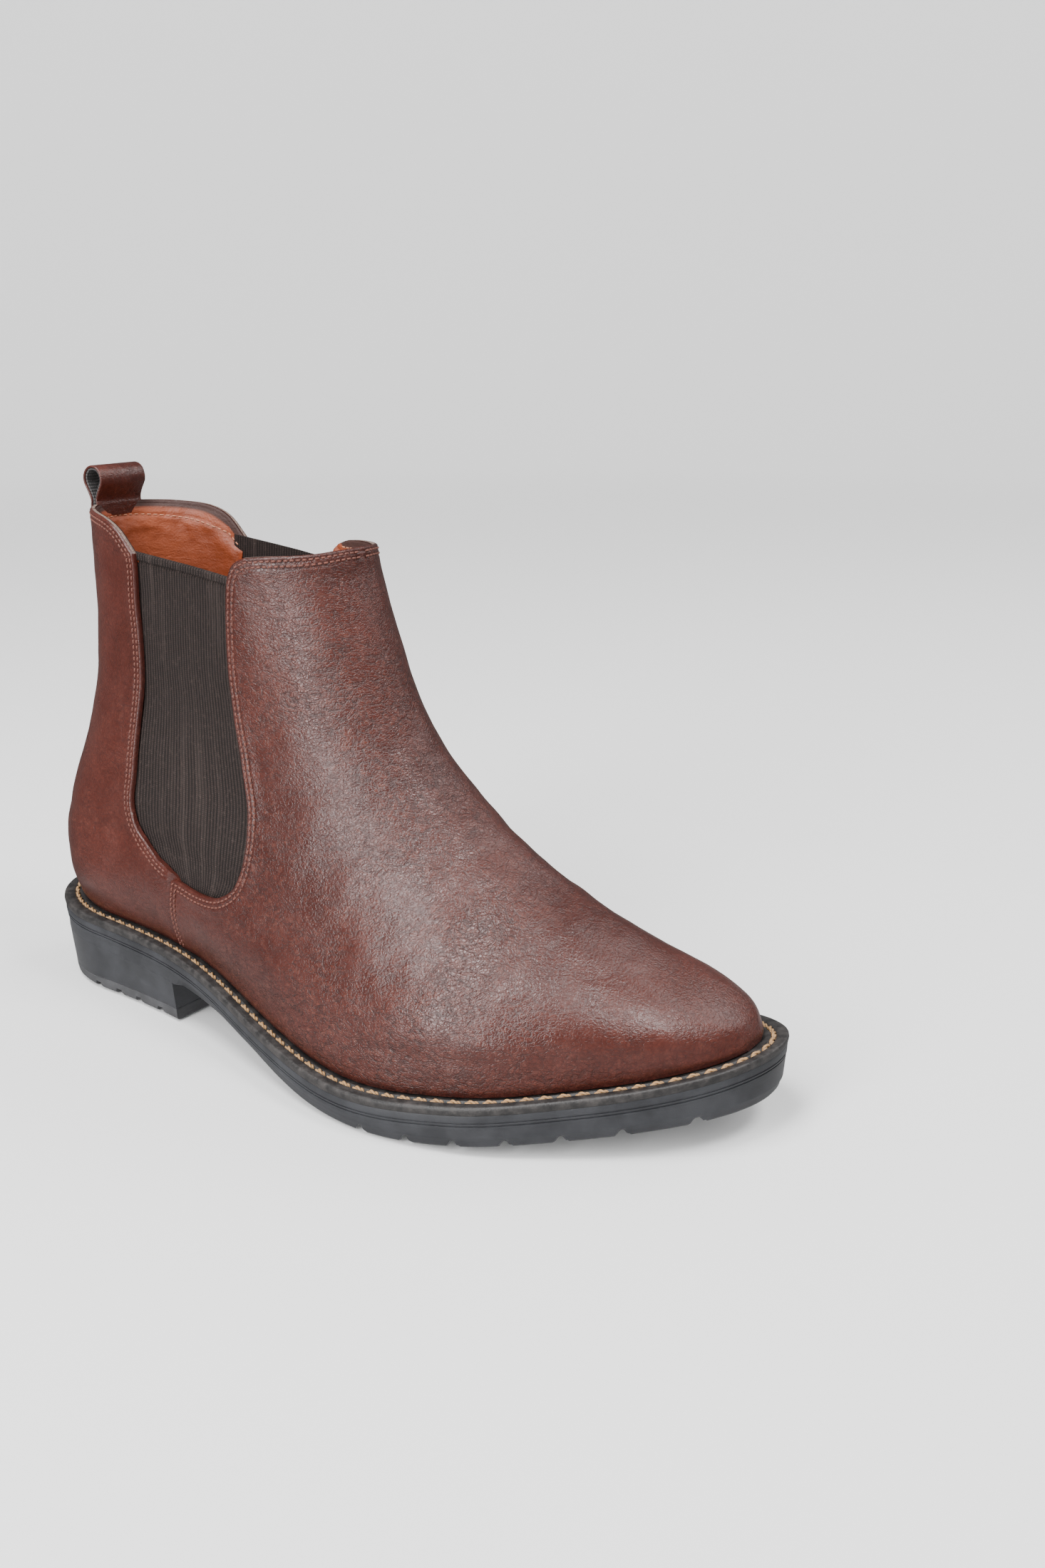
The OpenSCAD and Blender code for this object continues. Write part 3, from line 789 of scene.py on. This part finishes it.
def cut_panel(edge, top, fold, columns, hand, foot_gap=0.15, depth=0.0, swing=None):
    """Side view of one side of a panel, as rows of places from its cut edge to its fold line.

    The rows rise from the sole. Near the cut edge the columns are close together, and beyond
    them each row leaves at the angle that swing gives for its place along the edge.
    """
    line, head = smooth_line(edge), smooth_line(top)
    total = arc_length(line)[-1]
    s = np.concatenate([np.arange(0, total - 7, 1.0), np.arange(total - 7, total - 3, 0.5),
                        np.arange(total - 3, total - 0.1, 0.25), [total]])
    at = at_length(line, s)
    tangent = unit(at_length(line, s + 8) - at_length(line, s - 8))
    inward = np.stack([tangent[:, 1], -tangent[:, 0]], 1) * hand
    last = unit(head[4:5] - head[0:1])
    share = smooth((s - total + 16) / 16)[:, None]
    inward = unit(inward * (1 - share) + last * share)
    share = smooth(1 - s / 16)[:, None]
    inward = unit(inward * (1 - share) + np.array([[hand, 0.0]]) * share)
    band = at[:, None] + inward[:, None] * np.array(BAND)[None, :, None]
    far = fold(s / total, depth)
    start = band[:, -1]
    t = np.sin(np.linspace(0, math.pi / 2, columns + 1)[1:])[None, :, None]
    rest = start[:, None] + (far - start)[:, None] * t
    if swing is not None:
        angle = np.radians(curve(swing, s))
        leave = start + 30 * np.stack([np.cos(angle), np.sin(angle)], 1)
        arrive = np.stack([start[:, 0] + (far - start)[:, 0] * 0.67, far[:, 1]], 1)
        rest = ((1 - t) ** 3 * start[:, None] + 3 * (1 - t) ** 2 * t * leave[:, None]
                + 3 * (1 - t) * t * t * arrive[:, None] + t**3 * far[:, None])
    grid = np.concatenate([band, rest], 1)
    row = grid[0]
    sag = curve(WELT_TOP, row[:, 0]) + foot_gap - row[:, 1]
    u = (s / total)[:, None]
    grid[:, :, 1] += sag[None] * (1 - u)
    row = grid[-1]
    run = arc_length(row)
    along = at_length(head, run / run[-1] * arc_length(head)[-1])
    share = smooth((s - total + 26) / 26)[:, None, None]
    grid += (along - row)[None] * share
    return grid, np.concatenate([line, head[1:]])


def eased(grid, first, last):
    """Evens out the bends of a grid of points well above the sole, between two of its columns."""
    share = smooth((grid[..., 2] - curve(WELT_TOP, grid[..., 0]) - 16) / 16)[..., None]
    sharp = grid
    grid = grid.copy()
    for _ in range(120):
        rows = grid[:-2] + grid[2:]
        columns = grid[:, first - 1:last - 1] + grid[:, first + 1:last + 1]
        grid[4:-9, first:last] = (grid[4:-9, first:last] * 0.5 + rows[3:-8, first:last] * 0.125
                                  + columns[4:-9] * 0.125)
    return sharp * (1 - share) + grid * share


def both_sides(grid, depth=0.0):
    """A panel that is one piece round its fold: outer edge, fold, inner edge."""
    x, z = grid[..., 0], grid[..., 1]
    outer, inner = on_upper(OUTER, x, z, depth), on_upper(INNER, x, z, depth)
    outer[:, -1, 1] = heel_line + curve(CENTRE_LINE, x[:, -1])
    whole = np.concatenate([outer, inner[:, -2::-1]], 1)
    return eased(whole, len(BAND) + 3, whole.shape[1] - len(BAND) - 3)


def normals(grid):
    """Directions out of a grid of points in space."""
    n = unit(np.cross(np.gradient(grid, axis=0), np.gradient(grid, axis=1)))
    middle = grid.reshape(-1, 3).mean(0)
    middle[1] = heel_line
    if ((grid - middle) * n).sum() < 0:
        n = -n
    return n


def swell(grid, sizes, seed=0.0):
    """Uneven height of soft leather: (size of the waves in mm, height in mm) pairs."""
    flat = grid.reshape(-1, 3)
    height = np.zeros(len(flat))
    for size, tall in sizes:
        height += tall * np.array([noise.noise(Vector(p / size) + Vector((seed, seed, 0))) for p in flat])
    return height.reshape(grid.shape[:2])


def skin(name, face, back, material, body, uv=None, flat_angle=50, raw=None):
    """A sheet of leather or cloth between two grids of points, closed round its rim.

    The cut along its last row shows the raw material, where one is given.
    """
    rows, cols = face.shape[:2]
    n = rows * cols
    index = np.arange(n).reshape(rows, cols)
    a, b = index[:-1, :-1].ravel(), index[:-1, 1:].ravel()
    c, d = index[1:, 1:].ravel(), index[1:, :-1].ravel()
    faces = np.stack([a, b, c, d], 1).tolist() + np.stack([d + n, c + n, b + n, a + n], 1).tolist()
    rim = np.concatenate([index[0], index[1:, -1], index[-1, -2::-1], index[-2:0:-1, 0]])
    for i, j in zip(rim, np.roll(rim, -1)):
        faces.append((int(j), int(i), int(i + n), int(j + n)))
    points = np.concatenate([face.reshape(-1, 3), back.reshape(-1, 3)])
    if uv is not None:
        uv = np.concatenate([uv.reshape(-1, 2)] * 2)
    piece = new_piece(name, points, faces, material, body, flat_angle, uv)
    if raw is not None:
        piece.data.materials.append(raw)
        lip = {tuple(np.round(p * MM, 6)) for p in face[-1]} | {tuple(np.round(p * MM, 6)) for p in back[-1]}
        on_lip = [tuple(round(c, 6) for c in v.co) in lip for v in piece.data.vertices]
        for polygon in piece.data.polygons:
            if all(on_lip[i] for i in polygon.vertices):
                polygon.material_index = 1
    return piece


def vamp_fold(u, depth):
    z = np.interp(u * 185, (0, 29, 56, 90, 130, 160, 185), (31, 46, 57, 76, 104, 140, 180))
    return np.stack([curve(RIDGE_LINE, z + 0.85 * depth) - 0.85 * depth, z], -1)


def quarter_fold(u, depth):
    z = 33.5 + (187.9 - 33.5) * u
    return np.stack([curve(BACK_LINE, z) + depth, z], -1)


def lining_leather(name):
    f = Finish(name)
    blotch = f.clouds(f.place, 45, 5, 0.6)
    pore = f.cells(f.place, 1300, "F1")
    crease = f.clouds(f.stretch(f.place, (140, 140, 420)), 1.0, 5, 0.65, 0.6)
    tone = f.mix(blotch.rise(0.3, 0.7), (0.185, 0.034, 0.008), (0.285, 0.058, 0.015))
    from_top = f.node("SeparateXYZ", {}, {0: f.map}, 0)
    tone = f.mix(crease.rise(0.55, 0.8) * 0.35, tone, (0.2, 0.05, 0.02))
    turned = from_top.rise(0.0024, 0.0030, 1.0, 0.0)
    return f.surface(
        base_color=f.mix(turned, tone, (0.034, 0.010, 0.0065)),
        roughness=blotch.rise(0.3, 0.7, 0.5, 0.66) + turned * 0.15,
        normal=f.relief([(crease, 0.0003), (pore, 0.00008)]),
    )


SEAM_FROM_TOP = -17


def linings():
    tan = lining_leather("lining_leather")
    peach = waxed_thread("lining_thread", (0.22, 0.07, 0.035), (0.48, 0.21, 0.12))

    def laid(name, grid, top_line, pucker, body):
        """A lining: close under the leather at the collar, deeper below, and drawn in by its seam."""
        x, z = grid[..., 0], grid[..., 1]
        near = distance_to(top_line, x, z)
        base = both_sides(grid)
        near = np.concatenate([near, near[:, -2::-1]], 1)
        deep = LINING_DEPTH - (LINING_DEPTH - 1.62) * (1 - smooth(near / 8))
        n = normals(base)
        wave = swell(base, [(6.5, pucker), (2.6, pucker * 0.45)]) * np.exp(-((near - 8) / 6.5) ** 2)
        tuck = -0.4 * np.exp(-((near - 5.0) / 0.6) ** 2) - 0.35 * (1 - smooth(near / 0.8))
        face = base - n * deep[..., None]
        back = base - n * (deep + 0.8 + wave + tuck)[..., None]
        face[-1, :, 2] -= 0.5
        back[-1, :, 2] -= 0.5
        uv = np.stack([near, near], -1)
        piece = skin(name, face, back, tan, body, uv)
        spots = back[SEAM_FROM_TOP, 2:-2]
        places = np.arange(1.0, arc_length(spots)[-1] - 1.0, 2.4)
        run = arc_length(spots)
        inward = -unit(np.stack([np.interp(places, run, n[SEAM_FROM_TOP, 2:-2, k]) for k in range(3)], 1))
        along = unit(at_length(spots, places + 0.7) - at_length(spots, places - 0.7))
        row = stitches(name + "_seam", at_length(spots, places) + inward * 0.1, along, inward,
                       1.8, 0.3, 1, peach, body, 0.3)
        return piece, row

    grid, _ = cut_panel(VAMP_EDGE, VAMP_TOP, vamp_fold, 60, 1, 0.3, swing=VAMP_SWING)
    piece, _ = laid("vamp_lining", grid, smooth_line(VAMP_TOP), 0.4, "boot")
    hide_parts("vamp_lining")

    grid, _ = cut_panel(QUARTER_EDGE, QUARTER_TOP, quarter_fold, 46, -1, 0.3)
    piece, row = laid("rear_lining", grid, smooth_line(QUARTER_TOP), 0.9, None)
    bend_at_ankle(piece)
    bend_at_ankle(row)
    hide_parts("lining_heel", "lining_shaft")

    count, inset = 240, 14.6
    levels = []
    for shift, rise in ((0.6, 2.3), (0.0, 2.9), (0.0, 3.9), (0.5, 4.35), (1.6, 4.5)):
        line = ring(inset + shift, count)
        levels.append(with_height(line, curve(WELT_TOP, line[:, 0]) + rise))
    sock = stacked("sock_liner", levels, tan, "boot", 14, lambda s, x, y, z, share: z, 40)
    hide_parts("sock_liner")


def bend_at_ankle(piece):
    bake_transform(piece)


linings()

# ---------------------------------------------------------------------------
# Elastic gores: woven rubber and polyester webbing with fine upright ribs, set
# behind the leather on both sides. The top is folded over and sewn as a hem.
# ---------------------------------------------------------------------------
GORE_REAR = [(53, -72), (60, -80), (70, -90), (80, -92.5), (92, -92), (115, -90), (145, -88), (175, -86.5)]
GORE_FRONT = [(53, -33), (60, -25), (70, -20.5), (80, -19.5), (90, -21), (110, -28), (136, -34), (170, -32)]
GORE_TOP = [(-90, 175.6), (-81, 174.6), (-65.5, 173.0), (-53, 171.6), (-38, 169.6), (-30, 168.6)]


CLOTH_WIDTH = 46
CLOTH_DEPTH, CLOTH_BACK = 2.1, 3.0
RIB_PITCH = 1.05
HEM_DEPTH, HEM_SEAM = 2.9, 3.2


def elastic_cloth():
    f = Finish("elastic_cloth")
    f.shader.inputs["Specular IOR Level"].default_value = 0.25
    u = f.node("SeparateXYZ", {}, {0: f.map}, 0)
    v = f.node("SeparateXYZ", {}, {0: f.map}, 1)
    rib = f.node("Math", {"operation": "SINE"}, {0: u * (2 * math.pi / 0.00105)})
    pick = f.node("Math", {"operation": "SINE"}, {0: v * (2 * math.pi / 0.0007) + rib * 1.2})
    fuzz = f.clouds(f.place, 700, 5, 0.7)
    band = f.clouds(f.stretch(f.map, (260, 8, 1)), 1.0, 4, 0.6)
    weave = rib.rise(-1, 1) * (pick * 0.18 + 0.82)
    tone = f.mix(weave, (0.0065, 0.0042, 0.0036), (0.027, 0.0175, 0.0155))
    worn = fuzz.rise(0.5, 0.8) * 0.5 + band.rise(0.5, 0.75) * 0.35
    return f.surface(
        base_color=f.mix(worn, tone, (0.062, 0.044, 0.038)),
        roughness=fuzz.rise(0.3, 0.7, 0.75, 0.92),
        normal=f.relief([(weave, 0.00035), (fuzz, 0.00012)]),
    )


def gores():
    cloth = elastic_cloth()
    top_line = smooth_line(GORE_TOP)
    for side, name in ((OUTER, "gore_outer"), (INNER, "gore_inner")):
        rows, cols = 150, 170
        share = np.linspace(0, 1, cols)[None]
        height = np.concatenate([np.linspace(0, 0.93, 110), np.linspace(0.93, 1, rows - 109)[1:]])[:, None]
        left, right = curve(GORE_REAR, 53 + 121 * height), curve(GORE_FRONT, 53 + 116 * height)
        x = left + (right - left) * share
        head = np.interp(x, top_line[:, 0], top_line[:, 1])
        z = 53 + (head - 53) * height
        base = on_upper(side, x, z)
        n = outward(side, x, z)
        below = head - z
        hem = 0.5 * smooth((HEM_DEPTH - below) / 0.5) * (1 - 0.8 * smooth((0.7 - below) / 0.7))
        seam = -0.35 * np.exp(-((below - HEM_SEAM) / 0.35) ** 2)
        rib = 0.04 * np.sin(share * CLOTH_WIDTH * 2 * math.pi / RIB_PITCH)
        sag = swell(base, [(30, 0.5), (9, 0.2)], 3.0)
        deep = CLOTH_DEPTH - hem - seam - rib - sag
        face = base - n * deep[..., None]
        back = base - n * CLOTH_BACK
        uv = np.stack([np.broadcast_to(share * CLOTH_WIDTH, x.shape), z], -1)
        gore = skin(name + "_cloth", face, back, cloth, None, uv)
        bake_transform(gore)
        pattern = np.stack([x, z], -1)
        pattern = np.concatenate([pattern[0], pattern[1:, -1], pattern[-1, -2::-1], pattern[-2:0:-1, 0]])
        after = np.roll(pattern, -1, 0)
        area = abs((pattern[:, 0] * after[:, 1] - after[:, 0] * pattern[:, 1]).sum()) / 2
        area = round(float(area) * MM * MM, 5)
        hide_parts(name)


gores()

# ---------------------------------------------------------------------------
# Vamp: one piece of oiled, pull-up leather from toe to collar. Its edge is
# turned and sewn with two rows of thread; the foot is tucked into the welt.
# ---------------------------------------------------------------------------


def pull_up_leather(name):
    """Reddish brown grain leather: small pebbles, fine creases, paler where it has been stretched, with
    painted shade darkening the creases and the hollows between the pebbles.
    """
    f = Finish(name)
    drift = f.node("TexNoise", {}, {"Vector": f.place, "Scale": 160.0, "Detail": 3.0}, 1)
    bent = f.node("VectorMath", {"operation": "MULTIPLY_ADD"},
                  {0: drift, 1: (0.0022, 0.0022, 0.0022), 2: f.place})
    pebble = f.cells(bent, 950, "SMOOTH_F1", 0.25)
    small = f.cells(bent, 1700, "F1")
    each = f.node("TexVoronoi", {"feature": "F1"}, {"Vector": bent, "Scale": 700.0}, 1)
    each = f.node("SeparateXYZ", {}, {0: each}, 0)
    long_way = f.stretch(bent, (1.0, 1.0, 1.7))
    crease = f.cells(long_way, 360, "DISTANCE_TO_EDGE").rise(0.0, 0.08, 1.0, 0.0)
    fine = f.cells(long_way, 760, "DISTANCE_TO_EDGE").rise(0.0, 0.16, 1.0, 0.0)
    along = f.node("SeparateXYZ", {}, {0: f.place}, 0)
    bends = along.rise(-0.075, -0.01) * along.rise(0.07, 0.135, 1.0, 0.0)
    where = f.clouds(f.place, 26, 4, 0.55).rise(0.38, 0.62) * 0.5 + bends * 0.6
    broad = f.clouds(f.place, 15, 3, 0.5)
    dusty = f.clouds(f.place, 70, 6, 0.65, 0.4)
    ridge = f.clouds(f.stretch(bent, (150, 170, 330)), 1.0, 2, 0.5, 0.7)
    wrinkle = ridge.rise(0.44, 0.5) * ridge.rise(0.5, 0.56, 1.0, 0.0)
    lines = (crease * 0.4 + fine * 0.5 + wrinkle * 0.7) * (where * 0.85 + 0.15)
    deep, brown, pale = (0.040, 0.0078, 0.0050), (0.082, 0.0190, 0.0125), (0.135, 0.045, 0.031)
    tone = f.mix(broad.rise(0.3, 0.7) * 0.5 + dusty.rise(0.3, 0.7) * 0.45, deep, brown)
    tone = f.mix(each.rise(0.6, 1.0) * 0.4 * where, tone, pale)
    # painted shade: the colour goes dark along the crease lines, which the bump below sinks into grooves
    tone = f.mix(lines * 0.7, tone, (0.020, 0.0042, 0.003))
    # painted shade: the colour goes dark in the hollows between the pebbles, where the bump below sinks them
    tone = f.mix(pebble.rise(0.25, 0.7) * 0.35, tone, (0.030, 0.0062, 0.0045))
    rough = dusty.rise(0.3, 0.7, 0.27, 0.36) + lines * 0.14
    return f.surface(
        base_color=tone,
        roughness=rough,
        normal=f.relief([
            (lines * -1.0, 0.00010), (pebble * -1.0, 0.00008), (small * -1.0, 0.00003),
        ]),
    )


SEAM_ROWS = (1.6, 3.4)


def turned_edge(d, proud=0.45):
    """Height of the leather at a distance from its cut edge: rounded, proud, and drawn in at both seams."""
    near = np.minimum(d, 0.9)
    round_over = np.sqrt(np.clip(0.81 - (0.9 - near) ** 2, 0, None)) - 0.9
    body = proud * (1 - smooth((d - 1.0) / 7.5))
    seams = -0.28 * sum(np.exp(-((d - row) / 0.42) ** 2) for row in SEAM_ROWS)
    return round_over + body + seams


def beside(line, inset, hand):
    """A line that keeps one distance from a cut edge."""
    tangent = unit(np.gradient(line, axis=0))
    moved = line + np.stack([tangent[:, 1], -tangent[:, 0]], 1) * hand * inset
    moved = moved[distance_to(line, moved[:, 0], moved[:, 1]) > inset * 0.985]
    return at_length(moved, np.arange(0, arc_length(moved)[-1], 0.1))


def sewn(name, side, line, hand, material, body, over_ridge=False):
    """Two rows of thread beside a cut edge on one side of the boot."""
    pitch, centres, along, out = 2.1, [], [], []
    for inset in SEAM_ROWS:
        path = beside(line, inset, hand)
        if over_ridge:
            end = path[-1]
            z = np.full(60, end[1])
            to_ridge = float(curve(RIDGE_LINE, end[1])) - 0.03 - end[0]
            x = end[0] + to_ridge * np.sin(np.linspace(0.03, 1.57, 60))
            path = np.concatenate([path, np.stack([x, z], 1)])
        path = path[path[:, 1] > curve(WELT_TOP, path[:, 0]) + 1.6]
        spots = on_upper(side, path[:, 0], path[:, 1])
        places = np.arange(pitch * 0.6, arc_length(spots)[-1] - pitch * 0.2, pitch)
        run = arc_length(spots)
        x, z = np.interp(places, run, path[:, 0]), np.interp(places, run, path[:, 1])
        n = outward(side, x, z)
        lie = 0.17 + float(turned_edge(np.array([inset]))[0])
        centres.append(at_length(spots, places) + n * lie)
        along.append(unit(at_length(spots, places + 0.7) - at_length(spots, places - 0.7)))
        out.append(n)
    return stitches(name, np.concatenate(centres), np.concatenate(along), np.concatenate(out),
                    1.75, 0.38, 1, material, body, 0.45)


oxblood = pull_up_leather("upper_leather")
raw_edge = plain_fibre("raw_edge", (0.075, 0.045, 0.035), (0.19, 0.135, 0.11), 1500, 0.0002, 0.85)
copper_thread = waxed_thread("upper_thread", (0.050, 0.0135, 0.009), (0.155, 0.048, 0.031))


def vamp():
    grid, cut = cut_panel(VAMP_EDGE, VAMP_TOP, vamp_fold, 96, 1, swing=VAMP_SWING)
    x, z = grid[..., 0], grid[..., 1]
    away = distance_to(cut, x, z)
    base = both_sides(grid)
    n = normals(base)
    mirrored = [np.concatenate([part, part[:, -2::-1]], 1) for part in (away, z - curve(WELT_TOP, x), x, z)]
    away, rise, x, z = mirrored
    soft = swell(base, [(38, 0.7), (17, 0.42), (7, 0.12)], 1.7)
    flex = np.exp(-((x - 62) / 42) ** 2) * smooth(rise / 18)
    folds = swell(base * np.array([1.0, 0.45, 0.8]), [(8.5, 0.4), (4.2, 0.17)], 9.0) * flex
    tuck = -0.7 * (1 - smooth(rise / 3.5)) ** 1.5
    height = turned_edge(away) + (soft + folds) * smooth(away / 8) * smooth(rise / 8) + tuck
    piece = skin("vamp_leather", base + n * height[..., None], base - n * LEATHER, oxblood, "boot",
                 raw=raw_edge)
    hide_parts("vamp")
    for side, name in ((OUTER, "vamp_stitching_outer"), (INNER, "vamp_stitching_inner")):
        line = np.concatenate([smooth_line(VAMP_EDGE), smooth_line(VAMP_TOP)[1:]])
        row = sewn(name.replace("stitching", "seam"), side, line, 1, copper_thread, "boot", True)
        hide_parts(name)


vamp()

# ---------------------------------------------------------------------------
# Quarters: an outer and an inner piece of the same leather, butted and sewn at
# the back seam. Each slides under the vamp at the side.
# ---------------------------------------------------------------------------


def quarters():
    seam = smooth_line([(-68.5, 26.0), (-68.5, 29.1), (-67.3, 38), (-65.8, 48), (-64.4, 56), (-63.0, 60.5)])
    gore_edge = smooth_line(QUARTER_EDGE[5:])
    for side, name in ((OUTER, "outer"), (INNER, "inner")):
        grid, _ = cut_panel(QUARTER_EDGE, QUARTER_TOP, quarter_fold, 88, -1)
        x, z = grid[..., 0], grid[..., 1]
        line = np.concatenate([gore_edge, smooth_line(QUARTER_TOP)[1:]])
        away = distance_to(line, x, z)
        base = on_upper(side, x, z)
        base[:, -1, 1] = heel_line
        n = normals(base)
        n[:, -1] = np.array([-1.0, 0.0, 0.0])
        rise = z - curve(WELT_TOP, x)
        seam_x = np.interp(np.clip(z, 26, 60.5), seam[:, 1], seam[:, 0])
        under = smooth((x - seam_x + 2.2) / 2.0) * (1 - smooth((z - 60) / 2.5))
        back = np.abs(base[..., 1] - heel_line)
        butt = -0.75 + np.sqrt(np.clip(0.5625 - (0.75 - np.minimum(back, 0.75)) ** 2, 0, None))
        butt = butt + 0.3 * (1 - smooth(back / 6.0)) - 0.22 * np.exp(-((back - 2.4) / 0.5) ** 2)
        soft = swell(base, [(34, 0.6), (15, 0.4), (6, 0.1)], 5.0 + side)
        ankle = np.exp(-((z - 96) / 20) ** 2) * smooth((x + 128) / 20)
        folds = swell(base * np.array([0.5, 0.5, 1.0]), [(9, 0.35), (4.5, 0.15)], 2.0) * ankle
        tuck = -0.7 * (1 - smooth(rise / 3.5)) ** 1.5
        quiet = smooth(away / 8) * smooth(rise / 8) * smooth(back / 5)
        height = turned_edge(away) + butt + (soft + folds) * quiet + tuck - 1.35 * under
        piece = skin("quarter_" + name, base + n * height[..., None],
                     base - n * (LEATHER + 0.8 * under)[..., None], oxblood, None, raw=raw_edge)
        bend_at_ankle(piece)
        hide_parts("quarter_heel_" + name, "quarter_shaft_" + name)
        row = sewn("quarter_seam_" + name, side, line, -1, copper_thread, None)
        bend_at_ankle(row)
        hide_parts("quarter_stitching_" + name)


quarters()

# ---------------------------------------------------------------------------
# Pull loop: a leather strap lined with dark webbing, bent over into a loop. Its
# ends go down between quarter and lining at the back, where they are sewn in.
# ---------------------------------------------------------------------------
LOOP_LEATHER = 0.85
LOOP_WEBBING = 0.8


def ribbed_webbing():
    f = Finish("loop_webbing")
    run = f.node("SeparateXYZ", {}, {0: f.place}, 1)
    climb = f.node("SeparateXYZ", {}, {0: f.place}, 2)
    rib = f.node("Math", {"operation": "SINE"}, {0: climb * (2 * math.pi / 0.0011)})
    pick = f.node("Math", {"operation": "SINE"}, {0: run * (2 * math.pi / 0.0009)})
    weave = rib.rise(-1, 1) * (pick * 0.25 + 0.75)
    fuzz = f.clouds(f.place, 900, 4, 0.7)
    return f.surface(
        base_color=f.mix(weave * 0.7 + fuzz * 0.3, (0.018, 0.017, 0.018), (0.075, 0.068, 0.066)),
        roughness=fuzz.rise(0.3, 0.7, 0.75, 0.92),
        normal=f.relief([(weave, 0.0003), (fuzz, 0.0001)]),
    )


def pull_loop():
    low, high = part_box("pull_loop")
    middle = (low + high) / 2 / MM
    big = (high.x - low.x) / 2 / MM
    foot = 2.4
    centre, neck = high.z / MM - big, low.z / MM + foot
    lean = math.asin((big - foot) / (centre - neck))
    turn = np.linspace(-lean, math.pi + lean, 64)
    cap = np.stack([np.cos(turn) * big, centre + np.sin(turn) * big], 1)
    right = np.array([[foot * math.cos(lean), neck - foot * math.sin(lean)]])
    legs = np.array([[foot * 0.92, neck - foot - 1.0], [foot * 0.86, neck - foot - 5.0]])
    path = np.concatenate([legs[::-1], right, cap, right * [-1, 1], legs * [-1, 1]])
    path = smooth_line(path, 0.35)
    tangent = unit(np.gradient(path, axis=0))
    out = np.stack([tangent[:, 1], -tangent[:, 0]], 1)

    def strap(name, outer_depth, thick, half, material, roundness):
        section = []
        for corner in ((-half, 0), (half, 0), (half, thick), (-half, thick)):
            for k in range(5):
                a = math.pi / 2 * k / 4
                sx, sy = math.copysign(1, corner[0]), (1 if corner[1] == 0 else -1)
                c, s = math.cos(a), math.sin(a)
                if sx * sy > 0:
                    c, s = s, c
                section.append((corner[0] - sx * roundness * (1 - c), corner[1] + sy * roundness * (1 - s)))
        section = np.array(section)
        width = section[:, 0]
        wobble = np.array([0.22 * noise.noise(Vector((i * 0.06, 3.1 + outer_depth, 0)))
                           for i in range(len(path))])
        depth = outer_depth + section[:, 1]
        crown = 0.25 * (width / half) ** 2
        ring_points = (path[:, None] - out[:, None] * (depth + crown)[None, :, None])
        y = heel_line + width[None] * (1 + wobble[:, None] * 0.05) + wobble[:, None]
        points = np.stack([middle.x + ring_points[..., 0], y, ring_points[..., 1]], -1)
        m = len(section)
        faces = []
        for i in range(len(path) - 1):
            for j in range(m):
                k = (j + 1) % m
                faces.append((i * m + j, i * m + k, (i + 1) * m + k, (i + 1) * m + j))
        faces.append(tuple(range(m))[::-1])
        faces.append(tuple((len(path) - 1) * m + j for j in range(m)))
        piece = new_piece(name, points.reshape(-1, 3), faces, material, None, 50)
        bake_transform(piece)
        return piece

    leather = strap("loop_leather", 0.0, LOOP_LEATHER, 10.9, oxblood, 0.42)
    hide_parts("pull_loop")
    cloth = ribbed_webbing()
    webbing = strap("loop_webbing", LOOP_LEATHER + 0.02, LOOP_WEBBING, 10.4, cloth, 0.3)
    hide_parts("pull_loop_webbing", "loop_tail")


pull_loop()
